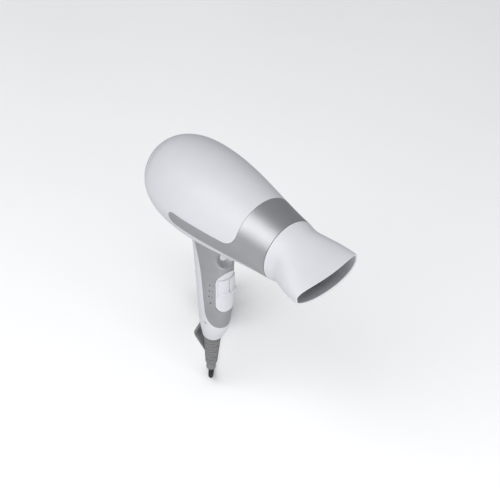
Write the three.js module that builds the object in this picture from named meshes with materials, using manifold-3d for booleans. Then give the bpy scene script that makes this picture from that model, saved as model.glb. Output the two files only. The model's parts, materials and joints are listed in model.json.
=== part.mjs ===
// Hair dryer: an assembly of separate pieces, in millimetres.
// +X is the way the air blows, +Z is up and the handle hangs down. The origin is the middle of the grip.
// The pieces are drawn about the barrel's axis with X = 0 at the mouth, then moved to that origin.
import * as THREE from 'three';
import { mergeVertices } from 'three/addons/utils/BufferGeometryUtils.js';
import Module from 'manifold-3d';

const wasm = await Module();
wasm.setup();

// ---- driving sizes ----
const WALL = 2.2;               // plastic walls
const GAP = 0.3;                // shut lines and the clearance between seated pieces
const SKIM = 0.05;              // keeps a cut from lying exactly in a face
const FAR = 160;                // past every side of the barrel, for cutting blocks
const GRIP = [-102, -115];      // X and Z of the middle of the grip, from the mouth centre

const MOUTH_R = 33.1;           // barrel outside radius at the mouth
const MOUTH_SLOPE = 0.1;        // how fast the barrel widens behind the mouth
const BARREL_R = 49.2;          // barrel outside radius where it is widest
const WIDEST_X = -122;
const REAR_LENGTH = 73;         // from the widest place to the rear tip
const REAR_SQUARENESS = 2.5;    // 2 is an ellipse, more is fuller
const AROUND = 36;              // facets around the barrel

const REAR_STEPS = 8;
const FRONT_STEPS = 7;

const BAND_LENGTH = 36.5;       // silver band behind the mouth
const TONGUE_TOP_Z = -1.7;      // the band's side tongues
const TONGUE_WIDTH = 15.7;
const TONGUE_TIP_X = -124;
const BAND_LOW_Z = -20;         // the band's lower edge at the mouth
const BAND_FILLET = 16;

const GRILLE_X = -170;          // where the rear grille starts
const SKIRT_LENGTH = 7;
const SKIRT_WALL = 1.6;
const HOLE_R = 1.9;
const HOLE_RINGS = [[10, 6], [20, 10], [30, 14]];   // radius of a ring of holes, and how many

const NOZZLE = [                // x, half width, half height, squareness of the section
  [GAP, MOUTH_R, MOUTH_R, 2], [5, MOUTH_R - 1, MOUTH_R - 1.5, 2], [12, MOUTH_R - 1.5, MOUTH_R - 4.3, 2.05],
  [21, MOUTH_R + 1, MOUTH_R - 8.2, 2.2], [31, MOUTH_R + 4, MOUTH_R - 12.9, 2.4],
  [42, MOUTH_R + 6.2, MOUTH_R - 17.9, 2.7], [52.5, MOUTH_R + 7.3, MOUTH_R - 22.2, 3],
];
const NOZZLE_BULGE = 5.8;       // how much further the middle of the slot reaches
const NOZZLE_AROUND = 32;
const NOZZLE_STEPS = 7;
const NOZZLE_TURN = 8.5;        // degrees, as it is left on the mouth
const NOZZLE_WALL = 1.8;
const COLLAR_DEPTH = 6.5;
const COLLAR_REACH = 5.5;
const COLLAR_WALL = 1.8;

// handle sections from top to bottom: z, centre x, half depth in X, half width in Y
const HANDLE = [
  [-30, -108, 29, 24.5], [-48, -107.5, 26.5, 22.5], [-66, -107, 24, 20.8], [-88, -105.5, 22.4, 19.8],
  [-113, -102.8, 21.6, 19.2], [-134, -101, 20.6, 18.4], [-149, -100.8, 19.2, 17.1],
  [-164, -101.2, 17.6, 15.8], [-173, -101.6, 15.8, 14.2], [-181, -102.6, 13.2, 12],
  [-187, -103.4, 11.4, 10.6],
];
const HANDLE_AROUND = 24;
const HANDLE_STEPS = 12;
const PANEL_EDGE = [            // the silver front panel's rear edge, seen from the side: x, z
  [-119, -34], [-111, -59], [-106, -79], [-102, -104], [-98.7, -130], [-96.5, -146], [-91.5, -155],
  [-84, -161], [-74, -163.5],
];
const SCOOP = { z: -64, depth: 8.5, radii: [12, 18, 14] };   // finger rest round the button
const HATCH = [-98.5, -157];    // x and z of the latch windows near the panel's lower end
const HATCH_SIZE = [4.6, 2.6];
const LATCH = { tongue: [11, 1.4, 12], root: [5, 4, 6] };

const PLATE_HALF_WIDTH = 12.8;
const PLATE_TOP_Z = -83;
const PLATE_BOTTOM_Z = -135;
const PLATE_CORNER = 9;
const PLATE_PROUD = 0.5;

const STEP = 7.8;               // slider travel from one setting to the next
const SLIDER_Z = -108;          // thumb ridge at the middle setting
const SLIDER_WIDTH = 11.6;
const SLIDER_UP = 16.5;         // pad above the ridge
const SLIDER_DOWN = 5.5;        // pad below the ridge
const SLIDER_SPLIT = 0.5;       // between the two sliders
const SLIDER_CLEAR = 0.6;       // under the pad, because the plate is slightly bowed
const PAD_PROUD = 2;
const RIDGE_PROUD = 5.4;
const RIDGE_WIDTH = 2.8;
const STEM = [4, 5.4];          // stem width in Y and length in Z
const STEM_UP = 5.4;             // stem centre above the ridge
const FRONT_LEAN = 0.063;       // how far the handle's front goes back for each mm up

const SWITCH_X = -93;           // top of the switch bodies
const SWITCH_DEPTH = 16;

const BUTTON_R = 7.4;
const BUTTON_Z = -63;
const BUTTON_PROUD = 2.6;
const BUTTON_TRAVEL = 1.8;
const FLANGE = 1.2;

const BUTTON_STEM_R = 1.6;
const SPRING_R = 3.2;
const SPRING_WIRE = 0.45;
const SPRING_TURNS = 4;

const CLAMP_Z = -172;           // the bar that holds the cord inside the handle
const CLAMP_SPACING = 14.8;     // between its two screws
const CLAMP_X = -106;
const CLAMP_WALL = 3.4;
const BOSS_R = 2.8;
const SCREW_R = 1.2;
const SCREW_TIP_X = -109;       // bottom of the screw holes in the bosses

const GUARD_X = HANDLE.at(-1)[1];
const GUARD_TOP_R = 9.8;        // bend guard of the cord
const GUARD_END_R = 6.8;
const GUARD_LENGTH = 41;
const GUARD_COLLAR_R = 5.4;
const GUARD_COLLAR = 11;
const GUARD_NECK_R = 5.6;       // through the bottom of the handle
const GUARD_FLANGE_R = 8;
const LOOP = [[-111, -172], [-118, -177.5], [-128.8, -202], [-105, -215]];   // hanging loop: x, z
const LOOP_WIDTH = 11;
const LOOP_WALL = 3.2;

const DUCT_R = 38.4;            // fan duct inside radius
const FAN_R = 36.4;
const FAN_X = -138;
const FAN_DEPTH = 14;
const BLADES = 9;
const VANES = 7;
const MOTOR_R = 14.2;
const MOTOR_LENGTH = 34;
const MOTOR_X = -126;           // rear end of the motor can
const DUCT_WALL = 1.4;
const SLEEVE_WALL = 0.8;
const SLEEVE_R = MOUTH_R - WALL - SLEEVE_WALL - 0.5;   // heater sleeve inside radius
const SLEEVE_X = [-82, -14];
const MICA = 0.9;
const COIL_R = SLEEVE_R - 1.4;
const COIL_WIRE = 0.6;
const COIL_TURNS = 9;
const WIRE_STEPS = 10;          // straight bits in one turn of wire
const FACET_CLEAR = 0.9;        // extra room for what sits inside the faceted barrel
const SHAFT_R = 1.6;
const OUTLET_X = -11.5;         // rear of the outlet grille

const CORD_D = 5.6;
// The cord's route on the table, about the origin of the finished part.
const CORD_ROUTE = [
  [-1.4, 0, -125.6], [-1.4, 0, -128.8], [-2, 0.6, -135], [-3.7, 2.2, -140.8], [-6.4, 4.9, -145.8],
  [-10, 8.4, -149.6], [-14.1, 12.5, -152], [-18.5, 16.8, -152.8], [-26.9, 25.1, -152.8],
  [-35.4, 33.4, -152.8], [-44, 41.8, -152.8], [-52.5, 50.2, -152.7], [-60, 59.8, -152],
  [-65.1, 68.5, -151.3], [-69.7, 76.8, -151],
];
const FLOOR_Z = -155.6;
const CORD_WAY = 135.5;         // degrees from +X, the way the hank lies
const HANK_START = 95;          // from under the handle to the near end of the hank
const HANK_LENGTH = 80;
const HANK_HEIGHT = 50;
const HANK_TURNS = 4;           // side by side
const TIE_WALL = 1.5;
const TIE_WIDTH = 9;
const PLUG = [34, 24, 16];      // length, width, height of the plug body
const PLUG_REAR = 137;          // from under the handle to the plug's rear end
const PLUG_TAPER = 5;
const BLADE = [17, 1.5, 6.3];
const BLADE_SPACING = 12.7;
const TAIL_BEND = 34.8;         // the last bend, from the hank up into the plug

// ---- materials ----
function paint(color, roughness, metalness = 0) {
  return new THREE.MeshStandardMaterial({ color, roughness, metalness });
}
const WHITE = paint(0xe2e2e8, 0.3);
const SILVER = paint(0xa9aaad, 0.32, 0.8);
const GREY = paint(0x8c8d8f, 0.6);
const DARK = paint(0x2b2c2e, 0.55);
const BLACK = paint(0x0c0c0d, 0.5);
const STEEL = paint(0xb9babc, 0.3, 1);
const BRASS = paint(0xc9a860, 0.3, 1);
const MICA_SHEET = paint(0xb8a888, 0.7);
const WIRE = paint(0x8d8478, 0.45, 1);
const BOARD = paint(0x3d6b45, 0.6);

// ---- turning geometry into solids and back ----
function solid(geometry) {
  const bare = geometry.index ? geometry.toNonIndexed() : geometry.clone();
  for (const name of Object.keys(bare.attributes)) if (name !== 'position') bare.deleteAttribute(name);
  const merged = mergeVertices(bare, 1e-4);
  return new wasm.Manifold(new wasm.Mesh({
    numProp: 3,
    vertProperties: new Float32Array(merged.attributes.position.array),
    triVerts: new Uint32Array(merged.index.array),
  }));
}

function geometryOf(manifold) {
  const mesh = manifold.getMesh();
  const geometry = new THREE.BufferGeometry();
  geometry.setAttribute('position', new THREE.BufferAttribute(new Float32Array(mesh.vertProperties), 3));
  geometry.setIndex(new THREE.BufferAttribute(new Uint32Array(mesh.triVerts), 1));
  return geometry;
}

const dryer = new THREE.Group();
function piece(name, shape, material) {
  const geometry = geometryOf(shape);
  geometry.computeVertexNormals();
  const mesh = new THREE.Mesh(geometry, material);
  mesh.name = name;
  mesh.position.set(-GRIP[0], 0, -GRIP[1]);
  dryer.add(mesh);
}

// ---- shape helpers ----
// Rows of points joined into one closed skin; a closed stack has its last row joined to its first.
function skin(rows, closed = false) {
  const n = rows[0].length;
  const points = rows.flat();
  const faces = [];
  const last = closed ? rows.length : rows.length - 1;
  for (let i = 0; i < last; i += 1) {
    const a = i * n;
    const b = ((i + 1) % rows.length) * n;
    for (let j = 0; j < n; j += 1) {
      const k = (j + 1) % n;
      faces.push(a + j, a + k, b + k, a + j, b + k, b + j);
    }
  }
  if (!closed) {
    for (const [row, turn] of [[0, 1], [rows.length - 1, 0]]) {
      const middle = new THREE.Vector3();
      rows[row].forEach((p) => middle.add(p));
      points.push(middle.divideScalar(n));
      for (let j = 0; j < n; j += 1) {
        const edge = [row * n + j, row * n + ((j + 1) % n)];
        if (turn) edge.reverse();
        faces.push(edge[0], edge[1], points.length - 1);
      }
    }
  }
  const geometry = new THREE.BufferGeometry().setFromPoints(points);
  geometry.setIndex(faces);
  return solid(geometry);
}

// A profile of [x, radius] pairs, from the rear forwards along its outside, turned round the X axis.
function turned(profile, around = AROUND, z = 0) {
  const geometry = new THREE.LatheGeometry(profile.map(([x, r]) => new THREE.Vector2(r, x)), around);
  return solid(geometry.rotateZ(-Math.PI / 2).translate(0, 0, z));
}

function tubeX(outer, inner, x0, x1, around = AROUND) {
  return turned([[x0, inner], [x0, outer], [x1, outer], [x1, inner], [x0, inner]], around);
}

function rodX(radius, x0, x1, y = 0, z = 0, around = 24) {
  const geometry = new THREE.CylinderGeometry(radius, radius, x1 - x0, around).rotateZ(-Math.PI / 2);
  return solid(geometry.translate((x0 + x1) / 2, y, z));
}

function block(x, y, z, cx, cy, cz) {
  return solid(new THREE.BoxGeometry(x, y, z).translate(cx, cy, cz));
}

function extruded(outline, depth, steps) {
  return new THREE.ExtrudeGeometry(outline, { depth, bevelEnabled: false, curveSegments: steps });
}

// An outline seen from the side (x, z), as thick as asked in Y.
function sidePrism(outline, thick = FAR, steps = 8) {
  return solid(extruded(outline, thick, steps).rotateX(Math.PI / 2).translate(0, thick / 2, 0));
}

// An outline seen from the front (y, z), from x0 to x1.
function frontPrism(outline, x0, x1, steps = 6) {
  const upright = extruded(outline, x1 - x0, steps).rotateX(Math.PI / 2).rotateZ(Math.PI / 2);
  return solid(upright.translate(x0, 0, 0));
}

function polygon(points) {
  return new THREE.Shape(points.map(([a, b]) => new THREE.Vector2(a, b)));
}

// A smooth curve through column k of a table, against its first column.
function column(table, k) {
  return new THREE.SplineCurve(table.map((row) => new THREE.Vector2(row[0], row[k])));
}

// An open line of points moved sideways, to its left when the distance is positive.
function beside(points, distance) {
  return points.map((p, i) => {
    const a = points[Math.max(i - 1, 0)];
    const b = points[Math.min(i + 1, points.length - 1)];
    const way = b.clone().sub(a).normalize();
    return new THREE.Vector2(p.x - way.y * distance, p.y + way.x * distance);
  });
}

// A helix of round wire about the X axis.
function spring(radius, x0, x1, turns, wire, steps = WIRE_STEPS, sides = 4) {
  const rows = [];
  for (let i = 0; i <= turns * steps; i += 1) {
    const t = (i / steps) * 2 * Math.PI;
    const along = x0 + ((x1 - x0) * i) / (turns * steps);
    const row = [];
    for (let j = 0; j < sides; j += 1) {
      const a = (-j / sides) * 2 * Math.PI;
      const r = radius + wire * Math.cos(a);
      row.push(new THREE.Vector3(along + wire * Math.sin(a), r * Math.cos(t), r * Math.sin(t)));
    }
    rows.push(row);
  }
  return skin(rows);
}

// ---- barrel ----
function barrelRadius(x) {
  if (x <= WIDEST_X) {
    const t = Math.min(1, (WIDEST_X - x) / REAR_LENGTH);
    return BARREL_R * (1 - t ** REAR_SQUARENESS) ** (1 / REAR_SQUARENESS);
  }
  const length = -WIDEST_X;
  const t = (x - WIDEST_X) / length;
  const fall = 3 * t * t - 2 * t * t * t;
  return BARREL_R + (MOUTH_R - BARREL_R) * fall + MOUTH_SLOPE * length * t * t * (1 - t);
}

// The barrel as a full body, with its skin moved outwards by `grow`.
function barrelBody(grow) {
  const profile = [];
  const power = 2 / REAR_SQUARENESS;
  for (let i = 0; i <= REAR_STEPS; i += 1) {
    const a = (Math.PI / 2) * (1 - i / REAR_STEPS);
    const back = (REAR_LENGTH + grow) * Math.sin(a) ** power;
    profile.push([WIDEST_X - back, i === 0 ? 0 : (BARREL_R + grow) * Math.cos(a) ** power]);
  }
  for (let i = 1; i <= FRONT_STEPS; i += 1) {
    const x = WIDEST_X * (1 - i / FRONT_STEPS);
    profile.push([x, barrelRadius(x) + grow]);
  }
  profile.push([0, 0]);
  return turned(profile);
}

// The silver band and its side tongues, seen from the side, grown by `grow`.
function bandOutline(grow) {
  const half = TONGUE_WIDTH / 2;
  const middle = TONGUE_TOP_Z - half;
  const tipX = TONGUE_TIP_X + half;
  const fillet = BAND_FILLET - grow;
  const outline = new THREE.Shape();
  outline.moveTo(1, FAR);
  outline.lineTo(-BAND_LENGTH - grow, FAR);
  outline.lineTo(-BAND_LENGTH - grow, TONGUE_TOP_Z + BAND_FILLET);
  outline.absarc(-BAND_LENGTH - BAND_FILLET, TONGUE_TOP_Z + BAND_FILLET, fillet, 0, -Math.PI / 2, true);
  outline.lineTo(tipX, middle + half + grow);
  outline.absarc(tipX, middle, half + grow, Math.PI / 2, (3 * Math.PI) / 2, false);
  outline.lineTo(1, BAND_LOW_Z - grow);
  return outline;
}

// ---- handle ----
function handleBody(grow, top = HANDLE[0][0], bottomGrow = grow) {
  const [centre, depth, width] = [1, 2, 3].map((k) => column(HANDLE, k));
  const rows = [];
  for (let i = 0; i <= HANDLE_STEPS; i += 1) {
    const at = centre.getPoint(i / HANDLE_STEPS);
    const a = depth.getPoint(i / HANDLE_STEPS).y + grow;
    const b = width.getPoint(i / HANDLE_STEPS).y + grow;
    const z = i === HANDLE_STEPS ? at.x - bottomGrow : at.x;
    if (z > top) continue;
    rows.push(Array.from({ length: HANDLE_AROUND }, (_, j) => {
      const angle = (j / HANDLE_AROUND) * 2 * Math.PI;
      return new THREE.Vector3(at.y + a * Math.cos(angle), b * Math.sin(angle), z);
    }));
  }
  return skin(rows.reverse());
}

function scoopBody(grow) {
  const front = handleFront(SCOOP.z);
  const [a, b, c] = SCOOP.radii.map((r) => r + grow);
  const ball = new THREE.SphereGeometry(1, 20, 14).scale(a, b, c);
  return solid(ball.translate(front - SCOOP.depth + SCOOP.radii[0], 0, SCOOP.z));
}

// X of the handle's front at a height, between two listed sections.
function handleFront(z) {
  const i = HANDLE.findIndex((row) => row[0] <= z);
  const [above, below] = [HANDLE[i - 1], HANDLE[i]];
  const t = (above[0] - z) / (above[0] - below[0]);
  return (above[1] + above[2]) * (1 - t) + (below[1] + below[2]) * t;
}

function panelOutline(grow) {
  const edge = new THREE.SplineCurve(PANEL_EDGE.map(([x, z]) => new THREE.Vector2(x, z))).getPoints(16);
  const moved = beside(edge, -grow);
  const ahead = [moved.at(-1), moved[0]].map((p) => new THREE.Vector2(-20, p.y));
  return new THREE.Shape([...moved, ...ahead]);
}

function plateOutline(grow) {
  const w = PLATE_HALF_WIDTH + grow;
  const r = PLATE_CORNER;
  const bottom = PLATE_BOTTOM_Z - grow;
  const outline = new THREE.Shape();
  outline.moveTo(-w + r, bottom);
  outline.lineTo(w - r, bottom);
  outline.absarc(w - r, bottom + r, r, -Math.PI / 2, 0, false);
  outline.lineTo(w, PLATE_TOP_Z - PLATE_HALF_WIDTH);
  outline.absarc(0, PLATE_TOP_Z - PLATE_HALF_WIDTH, w, 0, Math.PI, false);
  outline.lineTo(-w, bottom + r);
  outline.absarc(-w + r, bottom + r, r, Math.PI, (3 * Math.PI) / 2, false);
  return outline;
}

function buildHousing() {
  const outer = barrelBody(0);
  const inner = barrelBody(-WALL).add(rodX(MOUTH_R - WALL, -3, 1, 0, 0, AROUND));
  const handleInner = handleBody(-WALL, HANDLE[0][0], -WALL - 1).subtract(scoopBody(WALL));
  const barrelShell = outer.subtract(inner);
  const box = (x0, x1, z0, z1) => block(x1 - x0, FAR, z1 - z0, (x0 + x1) / 2, 0, (z0 + z1) / 2);
  const bandHole = sidePrism(bandOutline(GAP / 2));
  const split = TONGUE_TOP_Z - TONGUE_WIDTH / 2;
  const shellRear = GRILLE_X + GAP / 2;

  piece('front_band', barrelShell.intersect(sidePrism(bandOutline(-GAP / 2))), SILVER);

  const top = barrelShell.intersect(box(shellRear, 1, split + GAP / 2, FAR)).subtract(bandHole);
  piece('barrel_top_shell', top, WHITE);

  // the lower barrel and the back of the handle are one moulding
  const body = outer.intersect(box(shellRear, 1, -FAR, split - GAP / 2)).subtract(bandHole);
  let shell = body.add(handleBody(0)).subtract(inner).subtract(handleInner);
  shell = shell.subtract(sidePrism(panelOutline(GAP / 2)).subtract(barrelBody(-SKIM)));
  for (const side of [-1, 1]) shell = shell.add(clampBoss(side)).subtract(hatch(side, 0));
  shell = shell.subtract(rodZ(GUARD_NECK_R + GAP, -195, -180)).subtract(loopBand(GAP));
  piece('handle_shell', shell, WHITE);

  // silver panel on the front of the handle
  let panel = handleBody(0).subtract(handleInner).subtract(barrelBody(GAP)).subtract(scoopBody(0));
  panel = panel.intersect(sidePrism(panelOutline(-GAP / 2)));
  panel = panel.subtract(frontPrism(plateOutline(GAP), -95, -60));
  panel = panel.subtract(rodX(BUTTON_R + GAP, -100, -70, 0, BUTTON_Z));
  for (const side of [-1, 1]) panel = panel.add(latch(side));
  piece('handle_front_panel', panel, SILVER);
}

function rodZ(radius, z0, z1, around = 24) {
  const geometry = new THREE.CylinderGeometry(radius, radius, z1 - z0, around).rotateX(Math.PI / 2);
  return solid(geometry.translate(GUARD_X, 0, (z0 + z1) / 2));
}

function clampBoss(side) {
  const y = (side * CLAMP_SPACING) / 2;
  const post = rodX(BOSS_R, -118, CLAMP_X - GAP, y, CLAMP_Z, 16).intersect(handleBody(-WALL / 2));
  return post.subtract(rodX(SCREW_R + GAP, SCREW_TIP_X, CLAMP_X, y, CLAMP_Z, 12));
}

// oval windows in the handle shell, and the panel's latches that show in them
function hatch(side, shrink) {
  const [long, high] = HATCH_SIZE;
  const round = new THREE.CylinderGeometry(1, 1, 8, 16).scale(long / 2 - shrink, 1, high / 2 - shrink);
  return solid(round.translate(HATCH[0], side * 16, HATCH[1]));
}

function latch(side) {
  const [x, z] = HATCH;
  const tongue = block(...LATCH.tongue, x + 2.7, side * 12.9, z + 3).intersect(handleBody(-WALL - GAP));
  const root = block(...LATCH.root, x + 8.1, side * 13, z + 7).intersect(handleBody(-0.5));
  const nub = hatch(side, GAP).intersect(handleBody(-0.35)).subtract(handleBody(-WALL - 1.8));
  return tongue.add(root).add(nub);
}

function buildRearGrille() {
  const rear = GRILLE_X - GAP / 2;
  const skirtR = barrelInside(GRILLE_X) - GAP;
  const behind = block(FAR, FAR, FAR, rear - FAR / 2, 0, 0);
  const dome = barrelBody(0).subtract(barrelBody(-WALL)).intersect(behind);
  let grille = dome.add(tubeX(skirtR, skirtR - SKIRT_WALL, rear - WALL, GRILLE_X + SKIRT_LENGTH));
  for (const [ring, count] of HOLE_RINGS) {
    for (let i = 0; i < count; i += 1) {
      const a = (i / count) * 2 * Math.PI;
      grille = grille.subtract(rodX(HOLE_R, -230, -160, ring * Math.cos(a), ring * Math.sin(a), 6));
    }
  }
  piece('rear_grille', grille, WHITE);
  piece('inlet_filter', rodX(skirtR - SKIRT_WALL - GAP, GRILLE_X + 2, GRILLE_X + 3, 0, 0, AROUND), DARK);
}

// ---- nozzle ----
// Half width, half height and squareness of the nozzle at an x.
function nozzleSize(x) {
  const curves = [1, 2, 3].map((k) => column(NOZZLE, k));
  const points = curves[0].getPoints(60);
  const i = Math.max(0, points.findIndex((p) => p.x >= x));
  return curves.map((curve) => curve.getPoint(i / 60).y);
}

function nozzleRow(t, inward) {
  const [wide, high, square] = [1, 2, 3].map((k) => column(NOZZLE, k).getPoint(t));
  const power = 2 / square.y;
  const flare = t * t * (3 - 2 * t);
  const bent = (v) => Math.sign(v) * Math.abs(v) ** power;
  return Array.from({ length: NOZZLE_AROUND }, (_, j) => {
    const a = (j / NOZZLE_AROUND) * 2 * Math.PI;
    const y = (wide.y - inward) * bent(Math.cos(a));
    const z = (high.y - inward) * bent(Math.sin(a));
    const x = wide.x + NOZZLE_BULGE * flare * (1 - (y / wide.y) ** 2);
    const point = new THREE.Vector3(x, y, z);
    return point.applyAxisAngle(new THREE.Vector3(1, 0, 0), THREE.MathUtils.degToRad(NOZZLE_TURN));
  });
}

function buildNozzle() {
  const steps = NOZZLE_STEPS;
  const along = Array.from({ length: steps + 1 }, (_, i) => i / steps);
  const outside = along.map((t) => nozzleRow(t, 0));
  const inside = along.map((t) => nozzleRow(t, NOZZLE_WALL)).reverse();
  piece('nozzle_shell', skin([...outside, ...inside], true), WHITE);

  const seat = MOUTH_R - WALL - GAP;
  const front = nozzleSize(COLLAR_REACH)[1] - NOZZLE_WALL - GAP;
  const bore = front - COLLAR_WALL;
  const collar = turned([
    [-COLLAR_DEPTH, bore], [-COLLAR_DEPTH, seat], [-GAP, seat], [-GAP, front],
    [COLLAR_REACH, front], [COLLAR_REACH, bore], [-COLLAR_DEPTH, bore],
  ]);
  piece('nozzle_collar', collar, DARK);
}

// ---- air path ----
function spoke(count, i, length, thick, deep, x) {
  const bar = new THREE.BoxGeometry(deep, thick, length).translate(x, 0, length / 2);
  return solid(bar.rotateX((i / count) * 2 * Math.PI));
}

function buildOutletGrille() {
  const [x0, x1] = [OUTLET_X, OUTLET_X + 3];
  const rim = barrelRadius(x1) - WALL - GAP;
  let grille = tubeX(rim, rim - 2, x0, x1).add(rodX(3.4, x0, x1));
  for (const r of [11, 20.5]) grille = grille.add(tubeX(r, r - 1.4, x0, x1, 20));
  for (let i = 0; i < 6; i += 1) grille = grille.add(spoke(6, i, rim - 1, 1.4, x1 - x0, (x0 + x1) / 2));
  piece('outlet_grille', grille, DARK);
}

function buildHeater() {
  const [x0, x1] = SLEEVE_X;
  piece('mica_sleeve', tubeX(SLEEVE_R + SLEEVE_WALL, SLEEVE_R, x0, x1), MICA_SHEET);
  const [b0, b1] = [x0 + 4, x1 - 4];
  const middle = (b0 + b1) / 2;
  const half = COIL_R * Math.cos(Math.PI / WIRE_STEPS) - COIL_WIRE - GAP;
  const lap = MICA + 2 * GAP;
  const upright = block(b1 - b0, MICA, 2 * half, middle, 0, 0);
  const flat = block(b1 - b0, 2 * half, MICA, middle, 0, 0);
  const run = (b1 - b0) / 2 + 1;
  piece('mica_board_upright', upright.subtract(block(run, 2, lap, b1 - run / 2 + 1, 0, 0)), MICA_SHEET);
  piece('mica_board_flat', flat.subtract(block(run, lap, 2, b0 + run / 2 - 1, 0, 0)), MICA_SHEET);
  piece('heating_coil', spring(COIL_R, b0 + 3, b1 - 3, COIL_TURNS, COIL_WIRE), WIRE);
  piece('thermostat', block(12, 5, 8, b1 - 12, MICA / 2 + GAP + 2.5, 13), DARK);
  piece('thermal_fuse', rodX(2, b1 - 20, b1 - 8, -(MICA / 2 + GAP + 2), 13, 12), STEEL);
}

function buildFan() {
  const [rear, front] = [FAN_X - FAN_DEPTH / 2, FAN_X + FAN_DEPTH / 2];
  let fan = turned([[rear - 5, 0], [rear - 4, 6], [rear, 10.4], [front, 11.4], [front, 0]], 28);
  for (let i = 0; i < BLADES; i += 1) {
    const blade = new THREE.BoxGeometry(15, 1.3, FAN_R - 10).rotateZ(THREE.MathUtils.degToRad(38));
    blade.translate(FAN_X, 0, (FAN_R + 10) / 2).rotateX((i / BLADES) * 2 * Math.PI);
    fan = fan.add(solid(blade));
  }
  fan = fan.subtract(rodX(SHAFT_R + GAP, FAN_X - 3, front + 1, 0, 0, 16));
  piece('fan_impeller', fan, DARK);

  const shaft = rodX(SHAFT_R, FAN_X - 2.7, MOTOR_X - GAP, 0, 0, 16);
  piece('motor_shaft', shaft, STEEL);
  const end = MOTOR_X + MOTOR_LENGTH;
  const can = turned([
    [MOTOR_X, 0], [MOTOR_X, MOTOR_R - 1.5], [MOTOR_X + 1.5, MOTOR_R], [end - 3, MOTOR_R],
    [end - 2, 5], [end, 5], [end, 0],
  ], 32);
  piece('fan_motor', can, STEEL);
}

function buildFanHousing() {
  const rear = FAN_X - 12;
  const seat = SLEEVE_X[0] - GAP;
  const neck = SLEEVE_R + SLEEVE_WALL;
  const flange = barrelInside(rear) - FACET_CLEAR;
  const outside = DUCT_R + DUCT_WALL;
  let housing = turned([
    [rear, DUCT_R], [rear, flange], [rear + 2, flange], [rear + 2, outside], [seat - 15.6, outside],
    [seat - 2.6, neck], [seat, neck], [seat, neck - DUCT_WALL], [seat - 3, neck - DUCT_WALL],
    [seat - 16, DUCT_R], [rear, DUCT_R],
  ]);
  const cupR = MOTOR_R + GAP;
  housing = housing.add(tubeX(cupR + DUCT_WALL, cupR, MOTOR_X + 3, MOTOR_X + MOTOR_LENGTH - 5, 32));
  for (let i = 0; i < VANES; i += 1) {
    const length = DUCT_R - cupR;
    const vane = new THREE.BoxGeometry(18, DUCT_WALL, length).rotateZ(THREE.MathUtils.degToRad(-12));
    vane.translate(MOTOR_X + 16, 0, cupR + DUCT_WALL / 2 + length / 2);
    vane.rotateX(((i + 0.5) / VANES) * 2 * Math.PI);
    housing = housing.add(solid(vane));
  }
  piece('fan_housing', housing, DARK);
}

// The inside radius of the rear half of the barrel.
function barrelInside(x) {
  return (BARREL_R - WALL) * (1 - (Math.max(0, WIDEST_X - x) / (REAR_LENGTH - WALL)) ** REAR_SQUARENESS)
    ** (1 / REAR_SQUARENESS);
}

// ---- controls ----
function buildSwitches() {
  const wide = SLIDER_SPLIT / 2 + SLIDER_WIDTH / 2;
  const window = frontPrism(plateOutline(0), -95, -60);
  let plate = handleBody(PLATE_PROUD).subtract(handleBody(-WALL)).subtract(scoopBody(0)).intersect(window);
  const stemZ = SLIDER_Z + STEM_UP;
  const [stemWide, stemLong] = STEM;
  const stemRear = SWITCH_X + FRONT_LEAN * STEP + GAP / 2;
  for (const side of [-1, 1]) {
    const hole = block(40, stemWide + 2 * GAP, stemLong + 2 * STEP + 2 * GAP, -85, side * wide, stemZ);
    plate = plate.subtract(hole);
  }
  piece('switch_plate', plate, WHITE);

  const under = handleBody(PLATE_PROUD + SLIDER_CLEAR);
  const names = ['heat', 'speed'];
  names.forEach((name, i) => {
    const y = (i === 0 ? -1 : 1) * wide;
    const strip = (z0, z1) => block(30, SLIDER_WIDTH, z1 - z0, -75, y, (z0 + z1) / 2);
    const pad = handleBody(PAD_PROUD).intersect(strip(SLIDER_Z - SLIDER_DOWN, SLIDER_Z + SLIDER_UP));
    const crest = strip(SLIDER_Z - RIDGE_WIDTH / 2, SLIDER_Z + RIDGE_WIDTH / 2);
    const cap = pad.add(handleBody(RIDGE_PROUD).intersect(crest)).subtract(under);
    const stem = block(SWITCH_DEPTH, stemWide, stemLong, stemRear + SWITCH_DEPTH / 2, y, stemZ);
    piece(`${name}_slider`, cap.add(stem.intersect(handleBody(PAD_PROUD - GAP))), WHITE);
    piece(`${name}_switch`, block(10, 10, 24, SWITCH_X - GAP - 5, y, stemZ), DARK);
  });
  const back = SWITCH_X - 2 * GAP - 10;
  piece('circuit_board', block(1.6, 26, 62, back - 0.8, 0, stemZ - 16), BOARD);
  piece('capacitor', block(8, 15, 12, back + GAP + 4, 0, stemZ - 36), BRASS);
}

function buildCoolShot() {
  const wall = handleFront(SCOOP.z) - SCOOP.depth;
  const rear = wall - WALL - 1.2 - GAP;
  const face = wall + BUTTON_PROUD;
  const profile = [
    [rear - FLANGE - 6, 0], [rear - FLANGE - 6, BUTTON_STEM_R], [rear - FLANGE, BUTTON_STEM_R],
    [rear - FLANGE, BUTTON_R + 1.4], [rear, BUTTON_R + 1.4], [rear, BUTTON_R], [face - 1.2, BUTTON_R],
    [face - 0.4, BUTTON_R - 0.6], [face, BUTTON_R - 2], [face + 0.3, 0],
  ];
  piece('cool_shot_button', turned(profile, 28, BUTTON_Z), WHITE);
  const base = rear - FLANGE - 6 - BUTTON_TRAVEL - GAP;
  piece('cool_shot_switch', block(9, 12, 14, base - 4.5, 0, BUTTON_Z), DARK);
  const springEnd = rear - FLANGE - BUTTON_TRAVEL - GAP - SPRING_WIRE;
  const coil = spring(SPRING_R, base + GAP + SPRING_WIRE, springEnd, SPRING_TURNS, SPRING_WIRE);
  piece('cool_shot_spring', movedZ(coil, BUTTON_Z), STEEL);
}

function movedZ(shape, z) {
  return solid(geometryOf(shape).translate(0, 0, z));
}

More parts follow.
